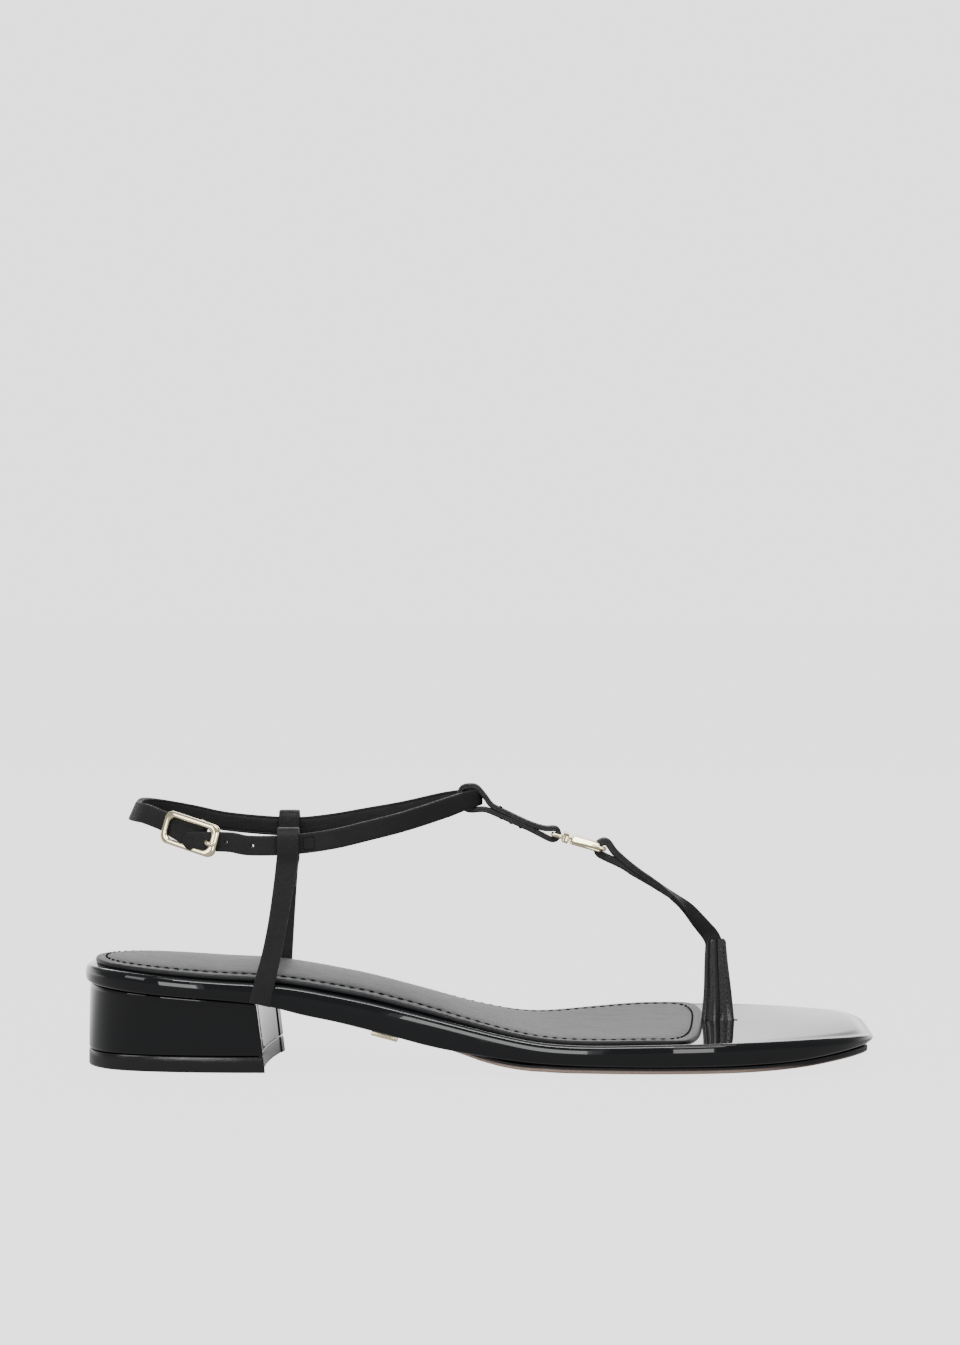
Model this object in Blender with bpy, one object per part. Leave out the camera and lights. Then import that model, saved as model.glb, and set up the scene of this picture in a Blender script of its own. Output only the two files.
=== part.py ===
"""Right-foot flat sandal: low block heel, wrapped sole, T-strap with a thong, buckled ankle strap.

Metres, +X to the toe, +Y to the inner (medial) side, +Z up, the ground at Z = 0.
"""

import math

import bpy
import bmesh
import numpy as np

# Main sizes
SOLE_LENGTH = 0.248
BALL_WIDTH = 0.0855
HEEL_RIM_HEIGHT = 0.0315
INSTEP_HEIGHT = 0.0835
GAP = 0.0003

# Sole
OUTSOLE_THICKNESS = 0.0016
OUTSOLE_INSET = 0.0016
OUTSOLE_WAIST_INSET = 0.0065
OUTSOLE_EDGE_RISE = 0.0023
OUTSOLE_EDGE_CHAMFER = 0.0005
OUTSOLE_FLAT_SHARE = 0.35
RIM_ROUND = 0.0014
SOCK_THICKNESS = 0.0012
SOCK_INSET = 0.0030
LIFT_HEIGHT = 0.0050
HEEL_TOP_INSET = 0.0014

# Straps
ANKLE_WIDTH = 0.0061
ANKLE_THICKNESS = 0.0018
QUARTER_WIDTH = 0.0066
QUARTER_THICKNESS = 0.0017
QUARTER_NARROWING = 0.12
T_WIDTH = 0.0060
T_LAYER = 0.00125
T_FRONT_THICKNESS = 0.0017
THONG_THICKNESS = 0.0022
THONG_TOP_WIDTH = 0.0066
THONG_BASE_WIDTH = 0.0110

# Buckle and link
BUCKLE_LENGTH = 0.0182
BUCKLE_HEIGHT = 0.0102
BUCKLE_WIRE = 0.0014
BUCKLE_FACE = 0.0023
PRONG_THICKNESS = 0.0010
HOLE_DIAMETER = 0.0013
HOLE_PITCH = 0.0090
LINK_WIRE = 0.0013
LINK_PLATE_THICKNESS = 0.0023
PLATE_LENGTH = 0.0085
PLATE_THICKNESS = 0.0013

# Sole form. x: share of SOLE_LENGTH from the middle. lateral, medial: share of BALL_WIDTH.
# rims: top of the side wall; crown: rise of the footbed between them; wall: bottom of the side wall;
# floor: underside between the walls. These five are shares of HEEL_RIM_HEIGHT.
SOLE = (
    # x, lateral, medial, rim_lateral, rim_medial, crown, wall, floor
    (-0.5000, -0.035, 0.035, 1.000, 1.000, 0.020, 0.840, 0.850),
    (-0.4945, -0.105, 0.105, 1.003, 1.003, 0.022, 0.835, 0.845),
    (-0.4840, -0.175, 0.175, 1.003, 1.003, 0.032, 0.828, 0.835),
    (-0.4640, -0.245, 0.240, 0.998, 0.998, 0.044, 0.812, 0.818),
    (-0.4300, -0.307, 0.298, 0.980, 0.980, 0.062, 0.790, 0.794),
    (-0.3830, -0.340, 0.328, 0.947, 0.950, 0.080, 0.762, 0.766),
    (-0.3230, -0.349, 0.333, 0.909, 0.914, 0.088, 0.728, 0.734),
    (-0.2660, -0.346, 0.312, 0.885, 0.900, 0.088, 0.682, 0.700),
    (-0.2220, -0.340, 0.280, 0.841, 0.865, 0.086, 0.582, 0.650),
    (-0.1850, -0.336, 0.252, 0.784, 0.812, 0.098, 0.527, 0.605),
    (-0.1410, -0.340, 0.225, 0.717, 0.748, 0.101, 0.441, 0.508),
    (-0.1000, -0.350, 0.214, 0.639, 0.670, 0.100, 0.360, 0.420),
    (-0.0580, -0.368, 0.220, 0.562, 0.590, 0.085, 0.276, 0.326),
    (-0.0070, -0.397, 0.250, 0.467, 0.490, 0.052, 0.214, 0.220),
    (0.0430, -0.427, 0.306, 0.384, 0.405, 0.024, 0.162, 0.108),
    (0.0850, -0.455, 0.362, 0.340, 0.375, 0.004, 0.142, 0.064),
    (0.1370, -0.483, 0.422, 0.332, 0.393, -0.014, 0.133, 0.0605),
    (0.1940, -0.502, 0.474, 0.346, 0.416, -0.024, 0.132, 0.0605),
    (0.2500, -0.500, 0.500, 0.352, 0.426, -0.022, 0.133, 0.0605),
    (0.3060, -0.478, 0.506, 0.356, 0.424, -0.012, 0.135, 0.0605),
    (0.3550, -0.438, 0.500, 0.358, 0.416, 0.000, 0.144, 0.068),
    (0.4000, -0.378, 0.480, 0.356, 0.406, 0.012, 0.152, 0.085),
    (0.4360, -0.308, 0.448, 0.350, 0.394, 0.020, 0.164, 0.112),
    (0.4640, -0.236, 0.412, 0.336, 0.388, 0.024, 0.178, 0.138),
    (0.4830, -0.162, 0.365, 0.320, 0.372, 0.022, 0.192, 0.158),
    (0.4945, -0.088, 0.308, 0.304, 0.352, 0.018, 0.202, 0.172),
    (0.5000, 0.000, 0.228, 0.294, 0.332, 0.012, 0.208, 0.182),
)
COLUMNS = ("x", "lateral", "medial", "rim_lateral", "rim_medial", "crown", "wall", "floor")

# Heel foot, at the ground. x: share of SOLE_LENGTH. lateral, medial: share of BALL_WIDTH.
HEEL_FOOT = (
    # x, lateral, medial
    (-0.4960, -0.035, 0.035),
    (-0.4915, -0.085, 0.085),
    (-0.4830, -0.135, 0.135),
    (-0.4650, -0.193, 0.190),
    (-0.4350, -0.238, 0.235),
    (-0.3950, -0.266, 0.264),
    (-0.3450, -0.284, 0.283),
    (-0.3000, -0.291, 0.291),
)
BREAST_LATERAL = -0.2655
BREAST_MEDIAL = -0.2525
BREAST_HOLLOW = 0.0018
BREAST_LEAN = 0.0034

# Straps. x: share of SOLE_LENGTH. y: share of BALL_WIDTH. z: share of INSTEP_HEIGHT.
ANKLE_LINE = (
    # from beside the buckle bar round the heel, the inner side and the instep to the billet
    (-0.4165, -0.145, 0.930),
    (-0.4330, -0.075, 0.940),
    (-0.4380, 0.000, 0.948),
    (-0.4330, 0.085, 0.957),
    (-0.4090, 0.165, 0.945),
    (-0.3720, 0.232, 0.920),
    (-0.3250, 0.280, 0.888),
    (-0.2480, 0.310, 0.868),
    (-0.1980, 0.292, 0.880),
    (-0.1470, 0.247, 0.908),
    (-0.0970, 0.184, 0.938),
    (-0.0480, 0.106, 0.975),
    (-0.0160, 0.047, 0.996),
    (-0.0040, 0.000, 1.000),
    (-0.0160, -0.047, 0.994),
    (-0.0480, -0.112, 0.962),
    (-0.0950, -0.198, 0.922),
    (-0.1410, -0.254, 0.890),
    (-0.1860, -0.289, 0.861),
    (-0.2370, -0.304, 0.843),
    (-0.2850, -0.308, 0.841),
)
# Legs of the two quarter straps: along the side wall, then up to the ankle strap.
LATERAL_LEG = (
    # x, y, z
    (-0.2715, -0.3615, 0.262),
    (-0.2655, -0.3615, 0.340),
    (-0.2580, -0.3560, 0.430),
    (-0.2500, -0.3475, 0.550),
    (-0.2425, -0.3380, 0.690),
    (-0.2385, -0.3320, 0.775),
)
MEDIAL_LEG = (
    # x, y, z
    (-0.2600, 0.3290, 0.262),
    (-0.2580, 0.3300, 0.340),
    (-0.2555, 0.3340, 0.440),
    (-0.2525, 0.3380, 0.580),
    (-0.2500, 0.3420, 0.720),
    (-0.2485, 0.3440, 0.800),
)
T_REAR_TOP = (
    # upper layer of the closed band, from above the instep to the link
    (0.0084, 0.000, 1.000),
    (0.0175, 0.000, 0.967),
    (0.0330, 0.002, 0.942),
    (0.0630, 0.005, 0.900),
    (0.0830, 0.008, 0.882),
)
LINK_REAR = (0.0927, 0.010, 0.862)
LINK_FRONT = (0.1575, 0.016, 0.806)
T_FRONT_LINE = (
    # upper layer, from the link to the top of the thong
    (0.1730, 0.018, 0.786),
    (0.1960, 0.026, 0.728),
    (0.2190, 0.042, 0.680),
    (0.2440, 0.055, 0.625),
    (0.2640, 0.067, 0.577),
    (0.2775, 0.078, 0.531),
    (0.2872, 0.087, 0.497),
    (0.2930, 0.092, 0.477),
    (0.2962, 0.093, 0.464),
)
THONG_TOP = (0.3008, 0.093, 0.445)
THONG_FOOT = (0.3060, 0.093, 0.137)
SOCK_FRONT_LATERAL = 0.2520
SOCK_FRONT_MEDIAL = 0.3000

BUCKLE_CENTRE = (-0.3573, -0.2480, 0.871)
BUCKLE_ALONG = (0.871, -0.430, -0.247)


def clear_scene():
    for thing in list(bpy.data.objects):
        bpy.data.objects.remove(thing, do_unlink=True)


def material(name, colour, metallic, roughness, coat=0.0):
    made = bpy.data.materials.new(name)
    made.use_nodes = True
    shader = made.node_tree.nodes["Principled BSDF"]
    shader.inputs["Base Color"].default_value = (*colour, 1.0)
    shader.inputs["Metallic"].default_value = metallic
    shader.inputs["Roughness"].default_value = roughness
    shader.inputs["Coat Weight"].default_value = coat
    return made


PATENT = ("patent_black", (0.010, 0.011, 0.013), 0.0, 0.08, 1.0)
LEATHER = ("leather_black", (0.018, 0.018, 0.019), 0.0, 0.45)
SOCK = ("sock_leather_black", (0.020, 0.020, 0.022), 0.0, 0.30)
RUBBER = ("rubber_black", (0.016, 0.016, 0.017), 0.0, 0.60)
TAN = ("outsole_beige", (0.42, 0.31, 0.27), 0.0, 0.55)
GOLD = ("gold_pale", (0.80, 0.70, 0.48), 1.0, 0.18)


def mesh_object(name, points, faces, look):
    mesh = bpy.data.meshes.new(name)
    mesh.from_pydata([tuple(map(float, point)) for point in points], [], faces)
    work = bmesh.new()
    work.from_mesh(mesh)
    bmesh.ops.recalc_face_normals(work, faces=work.faces)
    if work.calc_volume(signed=True) < 0:
        bmesh.ops.reverse_faces(work, faces=work.faces)
    work.to_mesh(mesh)
    work.free()
    made = bpy.data.objects.new(name, mesh)
    bpy.context.collection.objects.link(made)
    mesh.materials.append(material(f"{name}_{look[0]}", *look[1:]))
    return made


def unit(vector):
    vector = np.asarray(vector, float)
    return vector / np.linalg.norm(vector)


def place(share):
    """A point given in shares of the length, the ball width and the instep height."""
    return np.array([share[0] * SOLE_LENGTH, share[1] * BALL_WIDTH, share[2] * INSTEP_HEIGHT])


def smooth(rows, steps, closed=False):
    """A Catmull-Rom line through the rows, with this many steps between two of them."""
    rows = np.asarray(rows, float)
    if closed:
        padded = np.vstack([rows[-1:], rows, rows[:2]])
    else:
        padded = np.vstack([2 * rows[0] - rows[1], rows, 2 * rows[-1] - rows[-2]])
    line = []
    for a, b, c, d in zip(padded[:-3], padded[1:-2], padded[2:-1], padded[3:]):
        for step in range(steps):
            t = step / steps
            bend = (2 * a - 5 * b + 4 * c - d) * t**2 + (3 * b - a - 3 * c + d) * t**3
            line.append(0.5 * (2 * b + (c - a) * t + bend))
    if not closed:
        line.append(rows[-1])
    return np.array(line)


def sole_tables():
    line = smooth(SOLE, 4)
    scale = np.array([SOLE_LENGTH, BALL_WIDTH, BALL_WIDTH] + [HEEL_RIM_HEIGHT] * 5)
    line = line * scale
    return {name: line[:, column] for column, name in enumerate(COLUMNS)}


TABLES = sole_tables()


def at(name, x):
    return np.interp(x, TABLES["x"], TABLES[name])


def across(x, y):
    """Where y lies from the outer (-1) to the inner (1) edge of the sole."""
    low = at("lateral", x)
    high = at("medial", x)
    return np.clip((2 * y - low - high) / (high - low), -1, 1)


def footbed(x, y):
    u = across(x, y)
    rim = at("rim_lateral", x) * (1 - u) / 2 + at("rim_medial", x) * (1 + u) / 2
    return rim + at("crown", x) * (1 - u**2)


def underside(x, y):
    """Height of the platform's underside: flat in the middle, rising to the edges of the forefoot."""
    u = np.abs(across(x, y))
    forefoot = np.clip(x / (0.08 * SOLE_LENGTH), 0, 1)
    bend = np.clip((u - OUTSOLE_FLAT_SHARE) / (1 - OUTSOLE_FLAT_SHARE), 0, 1)
    return at("floor", x) + OUTSOLE_EDGE_RISE * forefoot * bend**2


def inset(loop, distance):
    """The closed loop moved inwards by this distance."""
    before = loop - np.roll(loop, 1, axis=0)
    after = np.roll(loop, -1, axis=0) - loop
    before = before / np.linalg.norm(before, axis=1)[:, None]
    after = after / np.linalg.norm(after, axis=1)[:, None]
    inward = np.stack([-(before + after)[:, 1], (before + after)[:, 0]], 1)
    inward = inward / np.linalg.norm(inward, axis=1)[:, None]
    turn = (before * after).sum(1)
    return loop + inward * distance / np.sqrt(np.clip((1 + turn) / 2, 0.4, 1))[:, None]


def cut_side(side, start, end):
    """The part of one side line between two x positions, with a third of it stretched to reach a cut."""
    if start <= side[0, 0] and end >= side[-1, 0]:
        return side
    keep = (side[:, 0] > start) & (side[:, 0] < end)
    line = side[keep]
    share = np.linspace(0, 1, len(line))
    moved = np.zeros(len(line))
    if start > side[0, 0]:
        moved += (start - line[0, 0]) * np.clip(1 - 3 * share, 0, 1)
    if end < side[-1, 0]:
        moved += (end - line[-1, 0]) * np.clip(3 * share - 2, 0, 1)
    x = line[:, 0] + moved
    y = np.where(moved == 0, line[:, 1], np.interp(x, side[:, 0], side[:, 1]))
    return np.stack([x, y], 1)


def outline(distance=0.0, start=-1.0, end_lateral=1.0, end_medial=1.0):
    """Closed plan loop this far inside the sole's edge: out along the outer side, back along the inner one.

    start and the two ends cut it straight across. Points i and -1 - i are a pair.
    """
    x = TABLES["x"][::2]
    lateral = np.stack([x, at("lateral", x)], 1)
    medial = np.stack([x, at("medial", x)], 1)
    loop = inset(np.vstack([lateral, medial[::-1]]), distance)
    lateral = loop[: len(x)]
    medial = loop[len(x) :][::-1]
    inner = cut_side(medial, start, end_medial)
    if end_lateral < 1.0:
        bend = 0.5 * inner[-1, 0]
        share = (end_lateral - bend) / (inner[-1, 0] - bend)
        x = np.where(inner[:, 0] < bend, inner[:, 0], bend + (inner[:, 0] - bend) * share)
        outer = np.stack([x, np.interp(x, lateral[:, 0], lateral[:, 1])], 1)
        outer[:3] = lateral[:3]
    else:
        outer = cut_side(lateral[len(lateral) - len(inner) :], start, end_lateral)
    return np.vstack([outer, inner[::-1]])


def toward_spine(loop, share, end_reach):
    """The loop pulled towards its own middle line, which stops end_reach short of both ends."""
    middle = (loop + loop[::-1]) / 2
    low = loop[:, 0].min() + end_reach
    high = loop[:, 0].max() - end_reach
    middle[:, 0] = np.clip(middle[:, 0], low, high)
    first, last = [middle[np.abs(middle[:, 0] - limit).argmin(), 1] for limit in (low, high)]
    inside = np.where(middle[:, 0] >= high, last, middle[:, 1])
    middle[:, 1] = np.where(middle[:, 0] <= low, first, inside)
    return loop + (middle - loop) * share


def stacked(name, loops, look):
    """A closed solid through loops of paired points, from the lowest to the highest."""
    count = len(loops[0])
    half = count // 2
    points = np.vstack(loops)
    faces = []
    for level in range(len(loops) - 1):
        for i in range(count):
            j = (i + 1) % count
            low = level * count
            faces.append((low + i, low + j, low + count + j, low + count + i))
    top = (len(loops) - 1) * count
    for i in range(half - 1):
        a, b = i, i + 1
        c, d = count - 2 - i, count - 1 - i
        faces.append((d, c, b, a))
        faces.append((top + a, top + b, top + c, top + d))
    return mesh_object(name, points, faces, look)


def raised(loop, heights):
    return np.column_stack([loop, heights])


def ribbon(name, line, widths, wide, thick, look, closed=False, round_end=False):
    """A strap of this width and thickness along a line. widths: the direction of its width at each point."""
    line = np.asarray(line, float)
    count = len(line)
    ahead = np.roll(line, -1, axis=0)
    behind = np.roll(line, 1, axis=0)
    if not closed:
        ahead[-1] = line[-1]
        behind[0] = line[0]
    along = ahead - behind
    along = along / np.linalg.norm(along, axis=1)[:, None]
    widths = np.broadcast_to(np.asarray(widths, float), line.shape)
    widths = widths - along * (widths * along).sum(1)[:, None]
    widths = widths / np.linalg.norm(widths, axis=1)[:, None]
    facing = np.cross(along, widths)
    wide = np.broadcast_to(np.asarray(wide, float), (count,)) / 2
    thick = np.broadcast_to(np.asarray(thick, float), (count,)) / 2
    edge = np.minimum(0.35 * thick, 0.2 * wide)
    corners = []
    quarter_turns = ((1, 1), (-1, 1), (-1, -1), (1, -1))
    around = []
    for k, signs in enumerate(quarter_turns):
        around += [(*signs, flat) for flat in ((0, 1) if k % 2 == 0 else (1, 0))]
    for across_sign, up_sign, flat in around:
        side = wide - (edge if flat else 0)
        up = thick - (0 if flat else edge)
        corners.append(line + widths * (across_sign * side)[:, None] + facing * (up_sign * up)[:, None])
    points = np.stack(corners, 1).reshape(-1, 3)
    faces = []
    for i in range(count if closed else count - 1):
        j = (i + 1) % count
        for k in range(8):
            m = (k + 1) % 8
            faces.append((8 * i + k, 8 * i + m, 8 * j + m, 8 * j + k))
    if not closed:
        faces.append(tuple(range(7, -1, -1)))
        faces.append(tuple(8 * (count - 1) + k for k in range(8)))
    return mesh_object(name, points, faces, look)


def box(name, centre, axes, sides, look):
    """A box with its edges along three axes."""
    centre = np.asarray(centre, float)
    points = []
    for a in (-0.5, 0.5):
        for b in (-0.5, 0.5):
            for c in (-0.5, 0.5):
                offset = a * sides[0] * axes[0] + b * sides[1] * axes[1] + c * sides[2] * axes[2]
                points.append(centre + offset)
    faces = [(0, 1, 3, 2), (4, 6, 7, 5), (0, 4, 5, 1), (2, 3, 7, 6), (0, 2, 6, 4), (1, 5, 7, 3)]
    return mesh_object(name, points, faces, look)


def bar(name, start, end, radius, look, count=12):
    """A round bar between two points."""
    start = np.asarray(start, float)
    end = np.asarray(end, float)
    along = unit(end - start)
    side = unit(np.cross(along, (0.3, 0.5, 0.8)))
    other = np.cross(along, side)
    turns = [2 * math.pi * k / count for k in range(count)]
    ring = [radius * (math.cos(turn) * side + math.sin(turn) * other) for turn in turns]
    points = [start + offset for offset in ring] + [end + offset for offset in ring]
    faces = [(k, (k + 1) % count, count + (k + 1) % count, count + k) for k in range(count)]
    faces.append(tuple(range(count)))
    faces.append(tuple(range(2 * count - 1, count - 1, -1)))
    return mesh_object(name, points, faces, look)


def bevel(thing, width, segments=2):
    change = thing.modifiers.new("edge", "BEVEL")
    change.width = width
    change.segments = segments
    change.limit_method = "ANGLE"
    change.angle_limit = math.radians(35)
    return thing


def combine(thing, other, operation):
    change = thing.modifiers.new(operation.lower(), "BOOLEAN")
    change.operation = operation
    change.solver = "EXACT"
    change.object = other
    other.hide_render = True
    other.display_type = "WIRE"
    return thing


def build_platform():
    edge = outline()
    wall = np.maximum(at("wall", edge[:, 0]), underside(edge[:, 0], edge[:, 1]) * (edge[:, 0] > 0))
    rim = footbed(edge[:, 0], edge[:, 1])
    lip = outline(0.0020)
    tall = rim - wall
    tuck = np.clip(12 * lip[:, 0] / SOLE_LENGTH, 0, 1)

    def inner(distance, share, heights):
        loop = toward_spine(outline(distance), share, 0.022)
        return raised(loop, heights(loop))

    def under(loop):
        return underside(loop[:, 0], loop[:, 1])

    def over(loop):
        return footbed(loop[:, 0], loop[:, 1])

    loops = [
        inner(OUTSOLE_INSET, 0.80, under),
        inner(OUTSOLE_INSET, 0.62, under),
        inner(OUTSOLE_INSET, 0.40, under),
        inner(OUTSOLE_INSET, 0.22, under),
        inner(0.0042, 0.0, under),
        raised(lip, wall + (under(lip) - wall) * tuck),
        raised(outline(0.0010), wall),
        raised(outline(0.0003), wall + np.minimum(0.0007, 0.15 * tall)),
        raised(edge, wall + np.minimum(0.0018, 0.35 * tall)),
        raised(edge, rim - np.minimum(0.0015, 0.35 * tall)),
        raised(outline(0.3 * RIM_ROUND), rim - np.minimum(0.0005, 0.12 * tall)),
        raised(outline(RIM_ROUND), rim),
        inner(0.0040, 0.0, over),
        inner(0.0070, 0.20, over),
        inner(0.0070, 0.48, over),
        inner(0.0070, 0.78, over),
    ]
    return stacked("platform", loops, PATENT)


def build_sock():
    def level(distance, share, height):
        ends = (SOCK_FRONT_LATERAL * SOLE_LENGTH - distance, SOCK_FRONT_MEDIAL * SOLE_LENGTH - distance)
        loop = outline(SOCK_INSET + distance, end_lateral=ends[0], end_medial=ends[1])
        loop = toward_spine(loop, share, 0.014)
        return raised(loop, footbed(loop[:, 0], loop[:, 1]) + height)

    lift = 1.6 * GAP
    top = lift + SOCK_THICKNESS
    loops = [
        level(0.0020, 0.78, lift),
        level(0.0020, 0.42, lift),
        level(0.0020, 0.10, lift),
        level(0.0, 0.0, lift),
        level(0.0, 0.0, top - 0.0004),
        level(0.0004, 0.0, top),
        level(0.0020, 0.10, top),
        level(0.0020, 0.42, top),
        level(0.0020, 0.78, top),
    ]
    return stacked("insole_sock", loops, SOCK)


def build_outsole():
    start = (BREAST_MEDIAL + 0.004) * SOLE_LENGTH

    def level(distance, share, rise):
        loop = outline(OUTSOLE_INSET + distance, start=start)
        waist = np.clip((0.03 * SOLE_LENGTH - loop[:, 0]) / (0.09 * SOLE_LENGTH), 0, 1)
        middle = (loop + loop[::-1])[:, 1] / 2
        loop[:, 1] += np.sign(middle - loop[:, 1]) * OUTSOLE_WAIST_INSET * waist
        loop = toward_spine(loop, share, 0.020)
        return raised(loop, underside(loop[:, 0], loop[:, 1]) - GAP - OUTSOLE_THICKNESS + rise)

    loops = [
        level(0.0, 0.80, 0.0),
        level(0.0, 0.62, 0.0),
        level(0.0, 0.40, 0.0),
        level(0.0, 0.22, 0.0),
        level(0.0024, 0.0, 0.0),
        level(0.0, 0.0, OUTSOLE_EDGE_CHAMFER),
        level(0.0, 0.0, OUTSOLE_THICKNESS),
        level(0.0026, 0.0, OUTSOLE_THICKNESS),
        level(0.0, 0.22, OUTSOLE_THICKNESS),
        level(0.0, 0.40, OUTSOLE_THICKNESS),
        level(0.0, 0.62, OUTSOLE_THICKNESS),
        level(0.0, 0.80, OUTSOLE_THICKNESS),
    ]
    return stacked("outsole", loops, TAN)


def heel_loop(height, top_share):
    """The heel block's outline at a height: top_share 0 at the ground, 1 under the heel seat."""
    foot = smooth(HEEL_FOOT, 2) * np.array([SOLE_LENGTH, BALL_WIDTH, BALL_WIDTH])
    seat = outline(HEEL_TOP_INSET)
    half = len(seat) // 2
    seat_lateral = seat[:half]
    seat_medial = seat[half:][::-1]
    above_lateral = np.interp(foot[:, 0], seat_lateral[:, 0], seat_lateral[:, 1])
    above_medial = np.interp(foot[:, 0], seat_medial[:, 0], seat_medial[:, 1])
    lateral_y = foot[:, 1] + (above_lateral - foot[:, 1]) * top_share
    medial_y = foot[:, 2] + (above_medial - foot[:, 2]) * top_share
    lateral = [np.array([x, y]) for x, y in zip(foot[:, 0], lateral_y)]
    medial = [np.array([x, y]) for x, y in zip(foot[:, 0], medial_y)]
    lateral.append(np.array([BREAST_LATERAL * SOLE_LENGTH + 0.004, lateral[-1][1]]))
    medial.append(np.array([BREAST_MEDIAL * SOLE_LENGTH + 0.004, medial[-1][1]]))
    loop = np.array(lateral + medial[::-1])
    return raised(loop, np.full(len(loop), height))


def breast_cutter():
    """What is cut away in front of the heel, so that its breast is hollow and leans back at the top."""
    outer = np.array([BREAST_LATERAL * SOLE_LENGTH, -0.295 * BALL_WIDTH])
    inner = np.array([BREAST_MEDIAL * SOLE_LENGTH, 0.295 * BALL_WIDTH])
    plan = []
    for share in np.linspace(-0.3, 1.3, 17):
        point = outer + (inner - outer) * share
        point[0] -= BREAST_HOLLOW * (1 - (2 * share - 1) ** 2)
        plan.append(point)
    plan += [np.array([plan[0][0] + 0.03, plan[-1][1]]), np.array([plan[0][0] + 0.03, plan[0][1]])]
    plan = np.array(plan)
    low = raised(plan, np.full(len(plan), -0.002))
    high = raised(plan - (BREAST_LEAN * 1.3, 0), np.full(len(plan), 1.1 * HEEL_RIM_HEIGHT))
    count = len(plan)
    faces = [(k, (k + 1) % count, count + (k + 1) % count, count + k) for k in range(count)]
    faces += [tuple(range(count)), tuple(range(2 * count - 1, count - 1, -1))]
    return mesh_object("cut_heel_breast", np.vstack([low, high]), faces, PATENT)


def heel_levels(name, levels, look):
    loops = []
    for height, top_share, pull in levels:
        loop = heel_loop(0.0, top_share)
        plan = toward_spine(loop[:, :2], pull, 0.024)
        loops.append(raised(plan, height(plan)))
    return stacked(name, loops, look)


def build_heel():
    def flat(height):
        return lambda plan: np.full(len(plan), height)

    def seat(plan):
        return at("floor", plan[:, 0]) - GAP

    def seat_edge(plan):
        return np.minimum(at("floor", plan[:, 0]), at("wall", plan[:, 0])) - GAP

    foot = LIFT_HEIGHT + GAP
    levels = [
        (flat(foot), 0.10, 0.55),
        (flat(foot), 0.10, 0.0),
        (flat(0.45 * HEEL_RIM_HEIGHT), 0.45, 0.0),
        (seat_edge, 1.0, 0.0),
        (seat_edge, 1.0, 0.25),
        (seat_edge, 1.0, 0.6),
    ]
    block = heel_levels("heel_block", levels, PATENT)
    lift = heel_levels(
        "heel_top_piece",
        [
            (flat(0.0), 0.0, 0.55),
            (flat(0.0), 0.0, 0.0),
            (flat(LIFT_HEIGHT), 0.10, 0.0),
            (flat(LIFT_HEIGHT), 0.10, 0.55),
        ],
        RUBBER,
    )
    cutter = breast_cutter()
    combine(block, cutter, "DIFFERENCE")
    combine(lift, cutter, "DIFFERENCE")
    return block, lift


def buckle_axes():
    along = unit(BUCKLE_ALONG)
    out = unit(np.cross(along, (0, 0, 1)))
    out = out if out[1] < 0 else -out
    up = np.cross(out, along)
    up = up if up[2] > 0 else -up
    return place(BUCKLE_CENTRE), along, out, up


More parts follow.
